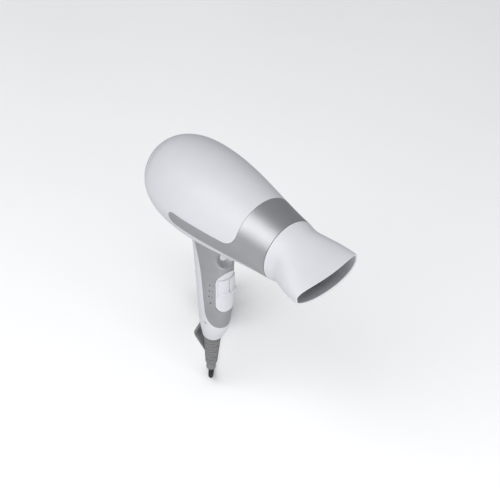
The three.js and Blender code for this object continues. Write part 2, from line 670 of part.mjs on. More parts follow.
// ---- cord end of the handle ----
function loopBand(grow) {
  const middle = LOOP.map(([x, z]) => new THREE.Vector2(x, z));
  const half = LOOP_WALL / 2 + grow;
  const outline = new THREE.Shape([...beside(middle, half), ...beside(middle, -half).reverse()]);
  return sidePrism(outline, LOOP_WIDTH + 2 * grow);
}

function buildCordGuard() {
  const top = HANDLE.at(-1)[0] - GAP;
  const taper = top - GUARD_LENGTH;
  const end = taper - GUARD_COLLAR;
  const floor = HANDLE.at(-1)[0] + WALL + 1 + GAP;
  const profile = [
    [0, end], [GUARD_COLLAR_R - 1, end], [GUARD_COLLAR_R, end + 1.2], [GUARD_COLLAR_R, taper - 3.4],
    [GUARD_COLLAR_R - 0.8, taper - 2], [GUARD_END_R, taper], [GUARD_TOP_R, top], [GUARD_NECK_R, top],
    [GUARD_NECK_R, floor], [GUARD_FLANGE_R, floor], [GUARD_FLANGE_R, floor + 2.4], [0, floor + 2.4],
  ];
  const lathe = new THREE.LatheGeometry(profile.map(([r, z]) => new THREE.Vector2(r, z)), 28);
  const body = solid(lathe.rotateX(Math.PI / 2).translate(GUARD_X, 0, 0));
  piece('cord_guard', body.add(loopBand(0)), GREY);

  const [thick, wide, high] = [CLAMP_WALL, CLAMP_SPACING + 6, 7];
  let clamp = block(thick, wide, high, CLAMP_X + thick / 2, 0, CLAMP_Z).intersect(handleBody(-WALL - GAP));
  for (const side of [-1, 1]) {
    clamp = clamp.subtract(rodX(SCREW_R + GAP, -120, -80, (side * CLAMP_SPACING) / 2, CLAMP_Z, 12));
  }
  piece('cord_clamp', clamp, DARK);
  for (const side of [-1, 1]) {
    const head = CLAMP_X + CLAMP_WALL + GAP;
    const tip = SCREW_TIP_X + GAP;
    const profile = [
      [0, tip], [SCREW_R, tip], [SCREW_R, head], [2 * SCREW_R, head], [2 * SCREW_R, head + 1.2],
      [SCREW_R + 0.4, head + 1.8], [0, head + 1.8],
    ];
    const screw = new THREE.LatheGeometry(profile.map(([r, x]) => new THREE.Vector2(r, x)), 14);
    const name = side < 0 ? 'clamp_screw_right' : 'clamp_screw_left';
    screw.rotateZ(-Math.PI / 2).translate(0, (side * CLAMP_SPACING) / 2, CLAMP_Z);
    piece(name, solid(screw), STEEL);
  }
}

// ---- cord, hank and plug ----
function cordTube(points, sides = 8) {
  const path = new THREE.CatmullRomCurve3(points);
  const section = new THREE.Shape().absarc(0, 0, CORD_D / 2, 0, 2 * Math.PI, false);
  const steps = Math.round(path.getLength() / (2 * CORD_D)) + 4;
  const how = { steps, extrudePath: path, bevelEnabled: false, curveSegments: sides / 2 };
  return solid(new THREE.ExtrudeGeometry(section, how));
}

// From the hank's own place (x along it, z above the table) to the barrel's axes.
function laid(geometry) {
  return geometry.rotateZ(THREE.MathUtils.degToRad(CORD_WAY)).translate(GUARD_X, 0, FLOOR_Z + GRIP[1]);
}

function buildCord() {
  const route = CORD_ROUTE.map(([x, y, z]) => new THREE.Vector3(x + GRIP[0], y, z + GRIP[1]));
  piece('cord_tube', cordTube(route), BLACK);

  const lift = TIE_WALL + GAP;
  const r = HANK_HEIGHT / 2;
  const wide = HANK_TURNS * CORD_D;
  const [near, far] = [HANK_START + r, HANK_START + HANK_LENGTH - r];
  const outline = new THREE.Shape();
  outline.absarc(far, lift + r, r, -Math.PI / 2, Math.PI / 2, false);
  outline.absarc(near, lift + r, r, Math.PI / 2, (3 * Math.PI) / 2, false);
  const hank = extruded(outline, wide, 14).rotateX(Math.PI / 2).translate(0, wide / 2, 0);
  piece('cord_hank', solid(laid(hank)), BLACK);

  const middle = (near + far) / 2;
  const top = lift + HANK_HEIGHT + lift;
  const box = (x, y, z, cz) => solid(laid(new THREE.BoxGeometry(x, y, z).translate(middle, 0, cz)));
  const outer = box(TIE_WIDTH, wide + 2 * lift, top, top / 2);
  const inner = box(TIE_WIDTH + 2, wide + 2 * GAP, HANK_HEIGHT + 2 * GAP, top / 2);
  piece('cord_tie', outer.subtract(inner), BLACK);

  const [long, broad, high] = PLUG;
  const axis = top + GAP + high / 2;
  const front = PLUG_REAR - long;
  const half = broad / 2;
  const shoulder = PLUG_REAR - PLUG_TAPER * 2;
  const plan = polygon([
    [PLUG_REAR, -half + PLUG_TAPER], [PLUG_REAR, half - PLUG_TAPER], [shoulder, half],
    [front, half], [front, -half], [shoulder, -half],
  ]);
  const body = extruded(plan, high, 1).translate(0, 0, axis - high / 2);
  piece('plug_body', solid(laid(body)), BLACK);
  for (const side of [-1, 1]) {
    const [bl, bw, bh] = BLADE;
    const blade = new THREE.BoxGeometry(bl, bw, bh);
    blade.translate(front - GAP - bl / 2, (side * BLADE_SPACING) / 2, axis);
    piece(side < 0 ? 'plug_blade_a' : 'plug_blade_b', solid(laid(blade)), BRASS);
  }

  const tail = [];
  for (let i = 0; i <= 8; i += 1) {
    const a = THREE.MathUtils.degToRad(54 + (36 * i) / 8);
    const x = PLUG_REAR + GAP + 2 + TAIL_BEND * Math.cos(a);
    tail.push(new THREE.Vector3(x, (-CORD_D / 2) * (1 - i / 8), axis - TAIL_BEND * (1 - Math.sin(a))));
  }
  tail.push(new THREE.Vector3(PLUG_REAR + GAP, 0, axis));
  const places = laid(new THREE.BufferGeometry().setFromPoints(tail)).attributes.position;
  const points = tail.map((_, i) => new THREE.Vector3().fromBufferAttribute(places, i));
  piece('cord_tail', cordTube(points), BLACK);
}

buildHousing();
buildRearGrille();
buildNozzle();
buildOutletGrille();
buildHeater();
buildFan();
buildFanHousing();
buildSwitches();
buildCoolShot();
buildCordGuard();
buildCord();

export default dryer;
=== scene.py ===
# %% [markdown]
# # A hair dryer with a slot nozzle
# The dryer is a hollow barrel of white plastic with a silver-painted band, a nozzle that narrows the air
# to a slot, and a handle with a silver front. The working model gives every piece its size, place and
# joint. Here each visible piece gets a smooth skin of its own and a finish made only from nodes.

# %% Load the frame
import json
import math

import bmesh
import bpy
from mathutils import Matrix, Vector


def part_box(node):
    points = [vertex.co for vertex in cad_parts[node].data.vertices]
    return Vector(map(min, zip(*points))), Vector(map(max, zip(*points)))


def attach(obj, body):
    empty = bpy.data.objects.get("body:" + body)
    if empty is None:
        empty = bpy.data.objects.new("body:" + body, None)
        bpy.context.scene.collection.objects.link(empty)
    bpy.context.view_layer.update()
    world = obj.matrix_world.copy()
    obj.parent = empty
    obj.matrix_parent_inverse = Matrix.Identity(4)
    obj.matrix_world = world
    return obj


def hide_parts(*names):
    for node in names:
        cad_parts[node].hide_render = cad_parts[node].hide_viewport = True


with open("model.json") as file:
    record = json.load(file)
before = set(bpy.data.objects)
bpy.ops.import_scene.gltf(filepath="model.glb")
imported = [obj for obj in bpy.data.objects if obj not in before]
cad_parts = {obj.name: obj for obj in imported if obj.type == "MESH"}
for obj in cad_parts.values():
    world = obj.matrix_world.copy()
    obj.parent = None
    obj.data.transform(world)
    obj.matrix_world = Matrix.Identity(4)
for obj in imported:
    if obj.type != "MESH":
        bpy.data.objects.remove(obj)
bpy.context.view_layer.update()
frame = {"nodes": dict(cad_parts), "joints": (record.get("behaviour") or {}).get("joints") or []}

MM = 0.001
joints = {j["name"]: j for j in frame["joints"]}
MOUTH = Vector(joints["nozzle_turn"]["pos_m"])     # middle of the barrel's mouth
print("mouth at", tuple(round(v, 4) for v in MOUTH))

# %% [markdown]
# ## Camera
# A long lens from above and to the front right shows the top of the barrel, the slot and the front of the
# handle at once. The camera's own axes are worked out from two angles and a small roll, which is easier to
# read than a list of rotation numbers.

# %% Camera
VIEW_AZIMUTH = math.radians(45.5)
VIEW_ELEVATION = math.radians(39.4)
VIEW_ROLL = math.radians(4.0)
CAMERA_PLACE = (0.6937, -0.6338, 0.8243)
LENS_MM = 83.64


def camera_axes(azimuth, elevation, roll):
    back = Vector((math.sin(azimuth) * math.cos(elevation), -math.cos(azimuth) * math.cos(elevation),
                   math.sin(elevation)))
    right = Vector((math.cos(azimuth), math.sin(azimuth), 0))
    up = back.cross(right)
    turned_right = right * math.cos(roll) + up * math.sin(roll)
    turned_up = up * math.cos(roll) - right * math.sin(roll)
    return Matrix((turned_right, turned_up, back)).transposed()


camera = bpy.data.objects.new("camera", bpy.data.cameras.new("camera"))
bpy.context.scene.collection.objects.link(camera)
camera.matrix_world = (Matrix.Translation(CAMERA_PLACE)
                       @ camera_axes(VIEW_AZIMUTH, VIEW_ELEVATION, VIEW_ROLL).to_4x4())
camera.data.lens = LENS_MM
camera.data.sensor_width = 36
camera.data.clip_start = 0.01
bpy.context.scene.camera = camera
print("camera is", round(Vector(CAMERA_PLACE).length, 3), "m from the grip")

# %% [markdown]
# ## Finishes
# Every finish starts from one recipe: a base colour that drifts a little over the surface, a roughness
# that varies with it, and a fine bump. Real moulded plastic is never one flat value, and the drift is what
# makes a highlight look alive. Constants such as metalness and clear coat sit on the shader's own sockets.

# %% The recipe for a finish
def node_in(tree, kind, **sockets):
    node = tree.nodes.new(kind)
    for name, value in sockets.items():
        node.inputs[name.replace("_", " ")].default_value = value
    return node


def shader_of(material):
    return material.node_tree, material.node_tree.nodes["Principled BSDF"]


def placed(tree, kind, **sockets):
    """A texture laid on the piece's own coordinates."""
    texture = node_in(tree, kind, **sockets)
    own = tree.nodes.new("ShaderNodeTexCoord")
    tree.links.new(own.outputs["Object"], texture.inputs["Vector"])
    return texture


def bump_from(material, height, strength, distance):
    tree, shader = shader_of(material)
    bump = node_in(tree, "ShaderNodeBump", Strength=strength, Distance=distance)
    tree.links.new(height, bump.inputs["Height"])
    tree.links.new(bump.outputs["Normal"], shader.inputs["Normal"])
    return material


def finish(name, dark, light, roughness, grain, depth, metal=0.0, coat=0.0, drift=35.0, sheen=0.0):
    """dark and light are the two ends of the colour drift, roughness is a (low, high) pair, grain the
    bump's scale per metre and depth its height in metres."""
    material = bpy.data.materials.new(name)
    material.use_nodes = True
    tree, shader = shader_of(material)
    shader.inputs["Metallic"].default_value = metal
    shader.inputs["Coat Weight"].default_value = coat
    shader.inputs["Coat Roughness"].default_value = 0.12
    shader.inputs["Sheen Weight"].default_value = sheen
    cloud = placed(tree, "ShaderNodeTexNoise", Scale=drift, Detail=3.0)
    colours = tree.nodes.new("ShaderNodeValToRGB")
    colours.color_ramp.elements[0].position = 0.3
    colours.color_ramp.elements[0].color = (*dark, 1)
    colours.color_ramp.elements[1].position = 0.7
    colours.color_ramp.elements[1].color = (*light, 1)
    tree.links.new(cloud.outputs["Fac"], colours.inputs["Fac"])
    tree.links.new(colours.outputs["Color"], shader.inputs["Base Color"])
    low, high = roughness
    rub = node_in(tree, "ShaderNodeMapRange", From_Min=0.3, From_Max=0.7, To_Min=low, To_Max=high)
    fine = placed(tree, "ShaderNodeTexNoise", Scale=grain, Detail=4.0)
    tree.links.new(fine.outputs["Fac"], rub.inputs["Value"])
    tree.links.new(rub.outputs["Result"], shader.inputs["Roughness"])
    return bump_from(material, fine.outputs["Fac"], 1.0, depth)


white_gloss = finish("white_gloss", (0.56, 0.56, 0.595), (0.58, 0.58, 0.615), (0.40, 0.48), 900, 0.000012)
grey_rubber = finish("grey_rubber", (0.16, 0.16, 0.165), (0.19, 0.19, 0.195), (0.55, 0.7), 1400, 0.00004)
black_sheath = finish("black_sheath", (0.011, 0.011, 0.012), (0.018, 0.018, 0.019), (0.38, 0.5),
                      1600, 0.00003)
heatproof_black = finish("heatproof_black", (0.035, 0.035, 0.037), (0.05, 0.05, 0.052), (0.5, 0.65),
                         1800, 0.00004)
bright_steel = finish("bright_steel", (0.5, 0.5, 0.51), (0.62, 0.62, 0.63), (0.25, 0.4),
                      1200, 0.00001, metal=1.0)
plated_brass = finish("plated_brass", (0.62, 0.5, 0.27), (0.72, 0.6, 0.36), (0.2, 0.32),
                      1500, 0.000008, metal=1.0)
mica_sheet = finish("mica_sheet", (0.42, 0.34, 0.22), (0.62, 0.53, 0.38), (0.45, 0.6),
                    700, 0.00003, drift=160)
resistance_wire = finish("resistance_wire", (0.2, 0.17, 0.15), (0.36, 0.32, 0.29), (0.35, 0.5),
                         2500, 0.00002, metal=1.0)
board_green = finish("board_green", (0.02, 0.1, 0.04), (0.035, 0.15, 0.06), (0.3, 0.42),
                     900, 0.00001, coat=0.4)
capacitor_yellow = finish("capacitor_yellow", (0.55, 0.33, 0.05), (0.65, 0.42, 0.08), (0.28, 0.36),
                          900, 0.00001)
ink_grey = finish("ink_grey", (0.10, 0.10, 0.11), (0.14, 0.14, 0.15), (0.5, 0.6), 2200, 0.00001)
print(len(bpy.data.materials), "finishes")

# %% [markdown]
# ## Silver lacquer
# The band and the handle's front are sprayed with lacquer full of tiny aluminium flakes. Under a clear
# coat the flakes tilt a little from one another, so the paint sparkles finely and fades quickly away from
# the light. Small Voronoi cells tip the normal of each flake, and that is why this finish has its own
# cell.

# %% Silver lacquer
def add_flakes(material, flake_size, tilt):
    flakes = placed(material.node_tree, "ShaderNodeTexVoronoi", Scale=1 / flake_size)
    return bump_from(material, flakes.outputs["Color"], tilt, flake_size)


silver_lacquer = add_flakes(
    finish("silver_lacquer", (0.52, 0.525, 0.545), (0.58, 0.585, 0.605), (0.42, 0.5), 1500, 0.00001,
           metal=0.85), 0.0003, 0.06)
print("flakes on", silver_lacquer.name)

# %% [markdown]
# ## Filter gauze
# Behind the rear grille lies a woven gauze that keeps dust out. Two crossed wave textures give the
# threads: where neither thread passes, the weave is low. A real mesh of threads this fine would
# need millions of faces and would look the same from a hand's breadth away.

# %% Filter gauze
def weave(material, pitch, depth):
    tree = material.node_tree
    over = tree.nodes.new("ShaderNodeMath")
    over.operation = "MAXIMUM"
    for socket, direction in zip(over.inputs, ("Y", "Z")):
        wave = placed(tree, "ShaderNodeTexWave", Scale=1 / (pitch * 6.0))
        wave.bands_direction = direction
        tree.links.new(wave.outputs["Fac"], socket)
    return bump_from(material, over.outputs[0], 1.0, depth)


filter_gauze = weave(
    finish("filter_gauze", (0.02, 0.02, 0.022), (0.05, 0.05, 0.055), (0.6, 0.8), 1500, 0.0001, sheen=0.2),
    0.0006, 0.0002)
print("weave on", filter_gauze.name)

# %% [markdown]
# ## Skins from rows of points
# Most pieces are skins stretched over rows of points, so one function turns rows into a mesh. Ready-made
# shapes pushed about by hand would be quicker for a box, but the dryer has hardly a flat face. Points that
# meet are welded, faces are shaded smooth, and a closed piece gets all its faces turned outwards.

# %% Places and points
def at(x, y, z):
    """A place given in millimetres from the middle of the mouth."""
    return Vector((MOUTH.x + x * MM, MOUTH.y + y * MM, MOUTH.z + z * MM))


def evenly(start, end, count):
    return [start + (end - start) * i / count for i in range(count + 1)]


def all_round(count):
    """Angles of one full turn, without the last, which would fall on the first."""
    return evenly(0, 2 * math.pi, count)[:-1]


def weld(thing, reach):
    """Merge points closer together than reach, in metres, and drop the faces that shrink to nothing."""
    made = bmesh.new()
    made.from_mesh(thing.data)
    bmesh.ops.remove_doubles(made, verts=made.verts, dist=reach)
    bmesh.ops.dissolve_degenerate(made, edges=made.edges, dist=1e-7)
    made.to_mesh(thing.data)
    made.free()


def mesh_of(name, points, faces):
    mesh = bpy.data.meshes.new(name)
    mesh.from_pydata([tuple(p) for p in points], [], faces)
    thing = bpy.data.objects.new(name, mesh)
    bpy.context.scene.collection.objects.link(thing)
    weld(thing, 1e-6)
    for face in mesh.polygons:
        face.use_smooth = True
    return thing


print("millimetres are counted from", tuple(round(v, 3) for v in at(0, 0, 0)))


# %% Skins
def skin(name, rows, around=False, ends=False, flip=False, ring=False):
    """Rows of points, each row as long as the others. around joins a row's last point to its first, ends
    closes the first and last rows with a face each, and ring joins the last row to the first."""
    wide = len(rows[0])
    faces = []
    for i in range(len(rows) if ring else len(rows) - 1):
        after = (i + 1) % len(rows)
        for j in range(wide if around else wide - 1):
            k = (j + 1) % wide
            face = [i * wide + j, i * wide + k, after * wide + k, after * wide + j]
            faces.append(face[::-1] if flip else face)
    if ends:
        first = list(range(wide))
        last = [(len(rows) - 1) * wide + j for j in range(wide)]
        faces.append(first if flip else first[::-1])
        faces.append(last[::-1] if flip else last)
    return mesh_of(name, [p for row in rows for p in row], faces)


def outward(thing):
    """Turn every face of a closed piece so that it looks out."""
    made = bmesh.new()
    made.from_mesh(thing.data)
    bmesh.ops.recalc_face_normals(made, faces=made.faces)
    made.to_mesh(thing.data)
    made.free()
    return thing


def solid(name, rows, ends=True, ring=False):
    """A closed piece from rows that each go all the way round."""
    return outward(skin(name, rows, around=True, ends=ends, ring=ring))


print("skins ready")

# %% [markdown]
# ## Hanging a piece on its body
# Each shown piece rides on the working body that moves it, wears one finish, and hides the working solids
# that it stands for. One function does all three, so no piece is left behind when a joint moves.

# %% Hanging a piece on its body
def place(thing, material, body, slot, *nodes):
    thing.data.materials.clear()
    thing.data.materials.append(material)
    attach(thing, body)
    if nodes:
        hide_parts(*nodes)
    return thing


# %% [markdown]
# ## The cord's route
# A dryer's lead is a thick round flex. It leaves the bend guard straight down, bends onto the table and is
# put away behind the handle as a hank: eight turns of a flat oval, four of them inside the other four,
# tied in the middle. One curve runs the whole way, so its length is the cord's real length. The turns come
# from a loop: an oval walked again and again, stepping one cord's width sideways each time round. The free
# stretch is a short list of places instead, because it lies as a hand would leave it.

# %% The cord's route
CORD = 5.6
CORD_START = [
    (-1.4, 0, -125.6), (-1.4, 0, -128.8), (-2, 0.6, -135), (-3.7, 2.2, -140.8), (-6.4, 4.9, -145.8),
    (-10, 8.4, -149.6), (-14.1, 12.5, -152), (-18.5, 16.8, -152.8), (-26.9, 25.1, -152.8),
    (-35.4, 33.4, -152.8), (-44, 41.8, -152.8), (-52.5, 50.2, -152.7), (-60, 59.8, -152),
    (-65.1, 68.5, -151.3), (-69.7, 76.8, -151),
]
TABLE_Z = -155.6                 # the surface that the hank lies on
HANK_WAY = math.radians(135.5)
HANK_ENDS = (120, 150)           # where the oval's straights begin and end
HANK_R = 22.2                    # from the middle of a round end to the outer turns
LAYERS = {"outer": HANK_R, "inner": HANK_R - CORD}
TIE_WALL = 1.5
TIE_GAP = 0.3
HANK_MIDDLE = TABLE_Z + TIE_WALL + TIE_GAP + CORD / 2 + HANK_R
TURNS = [                        # layer, and cord widths to the left of the hank's middle
    ("outer", -1.5), ("inner", -1.5), ("inner", -0.5), ("inner", 0.5), ("inner", 1.5), ("outer", 1.5),
    ("outer", 0.5), ("outer", -0.5),
]
PLUG_REAR = 137
PLUG_AXIS_Z = -93.7
TAIL_BEND = 34.8
STEP = 22.5                      # degrees from one point of a round end to the next
AXIS_X = -1.4                    # the bend guard's axis


def hanked(along, aside, z):
    """A place on the hank: along it, to its left, and up."""
    x = AXIS_X + along * math.cos(HANK_WAY) - aside * math.sin(HANK_WAY)
    y = along * math.sin(HANK_WAY) + aside * math.cos(HANK_WAY)
    return Vector((x * MM, y * MM, z * MM))


def end_bend(along, radius, aside, degrees):
    """A place on a turn's round end, at an angle from level."""
    a = math.radians(degrees)
    return hanked(along + radius * math.cos(a), aside, HANK_MIDDLE + radius * math.sin(a))


def smooth(t):
    return t * t * (3 - 2 * t)


# %% The hank's turns
def one_turn(now, after):
    """Bottom straight, far end, top straight, near end, where the cord steps over to the next turn."""
    radius, aside = LAYERS[now[0]], now[1] * CORD
    near, far = HANK_ENDS
    points = [hanked(near + (far - near) * t, aside, HANK_MIDDLE - radius) for t in (0, 0.5)]
    points += [end_bend(far, radius, aside, -90 + STEP * i) for i in range(9)]
    points.append(hanked((near + far) / 2, aside, HANK_MIDDLE + radius))
    for i in range(8):
        t = smooth(i / 8)
        r = radius + (LAYERS[after[0]] - radius) * t
        points.append(end_bend(near, r, aside + (after[1] * CORD - aside) * t, 90 + STEP * i))
    return points


def tail():
    """Up from the outside of the hank, over and into the back of the plug."""
    middle = PLUG_REAR + 2.3
    points = []
    for i in range(9):
        a = math.radians(12 + 78 * i / 8)
        points.append(hanked(middle + TAIL_BEND * math.cos(a), -CORD / 2 * (1 - i / 8),
                             PLUG_AXIS_Z - TAIL_BEND * (1 - math.sin(a))))
    return [*points, hanked(PLUG_REAR + 0.3, 0, PLUG_AXIS_Z)]


cord_points = [Vector(p) * MM for p in CORD_START] + [hanked(111.5, -8.3, -151)]
for i, turn in enumerate(TURNS[:-1]):
    cord_points += one_turn(turn, TURNS[i + 1])
last_radius, last_aside = LAYERS[TURNS[-1][0]], TURNS[-1][1] * CORD
cord_points += [hanked(along, last_aside, HANK_MIDDLE - last_radius)
                for along in (HANK_ENDS[0], sum(HANK_ENDS) / 2)]
cord_points += [end_bend(HANK_ENDS[1], last_radius, last_aside, -90 + STEP * i) for i in range(5)]
cord_points += tail()
print(len(cord_points), "points in the cord's route")

# %% [markdown]
# ## The cord as one tube
# A bevelled curve would draw the cord too, but the mesh made here keeps its faces even at every bend. The
# section is carried along the line and only tipped where the line turns, so it never twists.

# %% The cord as one tube
def on_curve(points, per_piece):
    """More points on a smooth curve through the given ones."""
    out = []
    for i in range(len(points) - 1):
        a, b = points[max(i - 1, 0)], points[i]
        c, d = points[i + 1], points[min(i + 2, len(points) - 1)]
        for j in range(per_piece):
            t = j / per_piece
            out.append(0.5 * ((2 * b) + (c - a) * t + (2 * a - 5 * b + 4 * c - d) * t * t
                              + (3 * b - a - 3 * c + d) * t * t * t))
    return [*out, points[-1]]


def tube(name, line, radius, sides=16):
    """A round tube of quads along a line, its section carried along without twisting."""
    rows = []
    start = (line[1] - line[0]).normalized()
    side = Vector((0, 0, 1)) if abs(start.y) > 0.9 else Vector((0, 1, 0))
    for i, p in enumerate(line):
        way = (line[min(i + 1, len(line) - 1)] - line[max(i - 1, 0)]).normalized()
        side = (side - way * side.dot(way)).normalized()
        other = way.cross(side)
        rows.append([p + (side * math.cos(a) + other * math.sin(a)) * radius
                     for a in all_round(sides)])
    return solid(name, rows)


cord_line = on_curve(cord_points, 4)
power_cord = tube("power_cord", cord_line, CORD / 2 * MM)
place(power_cord, black_sheath, "housing", "cord_black", "cord_tube", "cord_hank", "cord_tail")

# %% [markdown]
# ## Rims, cuts and joins
# Moulded edges are never sharp. A Bevel modifier limited by angle rounds only the rims, which costs far
# fewer faces than drawing each round. A Boolean modifier cuts the openings; it is applied at once, so that
# the next cut works on the real shape.

# %% Rims, cuts and joins
def soften(thing, width_mm, segments=2, angle=35):
    rim = thing.modifiers.new("rim", "BEVEL")
    rim.width = width_mm * MM
    rim.segments = segments
    rim.limit_method = "ANGLE"
    rim.angle_limit = math.radians(angle)
    rim.harden_normals = True
    return thing


def settle(thing):
    """Apply a piece's modifiers to its mesh."""
    graph = bpy.context.evaluated_depsgraph_get()
    mesh = bpy.data.meshes.new_from_object(thing.evaluated_get(graph))
    thing.modifiers.clear()
    thing.data = mesh
    return thing


def cut(thing, tool, how="DIFFERENCE"):
    knife = thing.modifiers.new("cut", "BOOLEAN")
    knife.operation = how
    knife.solver = "EXACT"
    knife.object = tool
    settle(thing)
    bpy.data.objects.remove(tool)
    return thing


def join(thing, *others):
    """Add other pieces' meshes to the first piece."""
    made = bmesh.new()
    for part in (thing, *others):
        made.from_mesh(part.data)
    made.to_mesh(thing.data)
    made.free()
    for part in others:
        bpy.data.objects.remove(part)
    return thing


print("cutters ready")

# %% [markdown]
# ## Tie
# The tie is a flat strap round the middle of the hank, drawn as a rounded box with the hank's space cut
# out. A bent strip would need its own curve, while the box also serves for the plug.

# %% A rounded box on the hank
def hank_box(name, size, along, z, round_mm=1.0, taper=0.0, segments=3):
    """size is length, width and height; taper draws the sides in towards the far end."""
    long, wide, high = (s / 2 for s in size)
    points = []
    for c in (-1, 1):
        for a, b in ((-1, -1), (1, -1), (1, 1), (-1, 1)):
            draw = taper if a > 0 else 0
            points.append(hanked(along + a * long, b * (wide - draw), z + c * (high - draw * 0.5)))
    faces = [(0, 3, 2, 1), (4, 5, 6, 7), (0, 1, 5, 4), (1, 2, 6, 5), (2, 3, 7, 6), (3, 0, 4, 7)]
    box = outward(mesh_of(name, points, faces))
    if round_mm:
        soften(box, round_mm, segments)
        settle(box)
    return box


# %% Tie
TIE = {"along": 135, "width": 9, "wide": 26, "high": 53.6}
tie_z = TABLE_Z + TIE["high"] / 2
tie_size = (TIE["width"], TIE["wide"], TIE["high"])
hank_tie = hank_box("hank_tie", tie_size, TIE["along"], tie_z, 2.6, segments=5)
hank_space = (TIE["width"] * 2, TIE["wide"] - 2 * TIE_WALL, TIE["high"] - 2 * TIE_WALL)
cut(hank_tie, hank_box("space", hank_space, TIE["along"], tie_z, 1.6, segments=4))
soften(hank_tie, 0.3, 2, 60)
place(hank_tie, black_sheath, "housing", "cord_black", "cord_tie")
print("tie has", len(hank_tie.data.polygons), "faces")

# %% [markdown]
# ## Plug
# The plug is a moulded block whose sides draw in towards the cord, with raised finger ribs and two flat
# plated blades that have a hole near each tip. The block is the same rounded box as the tie, with a taper.
# The ribs are small boxes set on its sloping sides, which is simpler than cutting grooves between them.

# %% Plug
PLUG = (34, 24, 16)
RIB_PITCH = 3.4
RIB_SPREAD = 0.44                # how much further out each next rib stands
BLADE_APART = 6.35               # from the plug's middle to a blade's


def shifted(thing, aside):
    """Move a hank piece's mesh to the left."""
    thing.data.transform(Matrix.Translation(hanked(0, aside, 0) - hanked(0, 0, 0)))
    return thing


plug = hank_box("plug", PLUG, PLUG_REAR - PLUG[0] / 2, PLUG_AXIS_Z, 2.4, taper=4.4, segments=5)
ribs = []
for i in range(4):
    for side in (-1, 1):
        rib = hank_box("rib", (1.4, 0.8, 9), PLUG_REAR - 8 - RIB_PITCH * i, PLUG_AXIS_Z, 0.35)
        ribs.append(shifted(rib, side * (9.05 + RIB_SPREAD * i)))
face_plate = hank_box("face_plate", (1.2, 21, 13), PLUG_REAR - PLUG[0] + 0.4, PLUG_AXIS_Z, 0.5)
join(plug, face_plate, *ribs)
place(plug, black_sheath, "housing", "cord_black", "plug_body")
print("plug with", len(ribs), "finger ribs")

# %% Plug blades
BLADE = (17, 1.5, 6.3)
for side, name in ((-1, "a"), (1, "b")):
    blade = hank_box(f"blade_{name}", BLADE, PLUG_REAR - PLUG[0] - 0.3 - BLADE[0] / 2, PLUG_AXIS_Z, 0)
    hole_line = [hanked(PLUG_REAR - PLUG[0] - 14, side * BLADE_APART + k, PLUG_AXIS_Z) for k in (-3, 3)]
    cut(shifted(blade, side * BLADE_APART), tube("hole", hole_line, 1.6 * MM, 20))
    soften(blade, 0.45, 3, 50)
    place(blade, plated_brass, "housing", "brass", f"plug_blade_{name}")
print("blades", BLADE, "mm")

# %% [markdown]
# ## Barrel outline
# The barrel is a shape turned on one axis: full and round at the back, drawn in to the mouth. Its front
# part is a smooth step and its rear a squared ellipse. The white top, the silver band and the white lower
# half all lie on this one surface, so each is a sheet of it between two edges, and the shut lines stay
# even.

# %% Barrel outline
MOUTH_R = 33.1
MOUTH_SLOPE = 0.1
BARREL_R = 49.2
WIDEST_X = -122
REAR_LENGTH = 73
REAR_SQUARENESS = 2.5
WALL = 2.2
SEAM = 0.15                      # half a shut line
BAND_REAR = -36.5
TONGUE_TOP = -1.7
TONGUE_HALF = 7.85
TONGUE_TIP = -124
BAND_LOW = -20
BAND_FILLET = 16
GRILLE_X = -170
tongue_middle = TONGUE_TOP - TONGUE_HALF
tip_x = TONGUE_TIP + TONGUE_HALF


def barrel_radius(x):
    if x <= WIDEST_X:
        t = min(1, (WIDEST_X - x) / REAR_LENGTH)
        return BARREL_R * (1 - t**REAR_SQUARENESS) ** (1 / REAR_SQUARENESS)
    t = (x - WIDEST_X) / -WIDEST_X
    fall = 3 * t * t - 2 * t**3
    return BARREL_R + (MOUTH_R - BARREL_R) * fall - MOUTH_SLOPE * WIDEST_X * t * t * (1 - t)


def on_barrel(x, angle, grow=0.0):
    """A place on the barrel; the angle runs from the right side (0) over the top."""
    r = barrel_radius(x) + grow
    return at(x, -r * math.cos(angle), r * math.sin(angle))


def angle_at(x, z):
    return math.asin(max(-1, min(1, z / barrel_radius(x))))


def tongue_edge(x, side, grow):
    """Height of the tongue's upper (1) or lower (-1) edge, moved outwards by grow."""
    if x < tip_x:
        return tongue_middle + side * math.sqrt(max(0, (TONGUE_HALF + grow) ** 2 - (x - tip_x) ** 2))
    if side > 0:
        corner = BAND_REAR - BAND_FILLET
        if x < corner:
            return TONGUE_TOP + grow
        return TONGUE_TOP + BAND_FILLET - math.sqrt(max(0, (BAND_FILLET - grow) ** 2 - (x - corner) ** 2))
    low = tongue_middle - TONGUE_HALF
    return low + (BAND_LOW - low) * (x - tip_x) / -tip_x - grow


print("barrel radius at mouth, middle, widest:", [round(barrel_radius(x), 1) for x in (0, -60, -122)])

# %% [markdown]
# ## White top of the barrel
# A curved shell whose lower edge runs straight along the tongue, then sweeps up round the band's corner.
# Columns of points stand close together where that edge turns, so the round is a true round. Only the
# outside is drawn: a Solidify modifier adds the wall inwards, so the outside keeps its size.

# %% White top
def thicken(thing, wall_mm):
    wall = thing.modifiers.new("wall", "SOLIDIFY")
    wall.thickness = wall_mm * MM
    wall.offset = -1
    wall.use_even_offset = True
    return thing


def eased(start, end, count):
    """Values from start to end, closer together at both ends, for stretches that end in a round."""
    return [start + (end - start) * (1 - math.cos(math.pi * i / count)) / 2 for i in range(count + 1)]


def shell_sheet(name, columns, span, rows):
    """A sheet of the barrel: for each x, points at even angles between the two that span gives."""
    grid = []
    for x in columns:
        low, high = span(x)
        grid.append([on_barrel(x, a) for a in evenly(low, high, rows)])
    return skin(name, grid, flip=True)


def top_span(x):
    z = tongue_middle + SEAM if x < TONGUE_TIP - SEAM else tongue_edge(x, 1, SEAM)
    return angle_at(x, z), math.pi - angle_at(x, z)


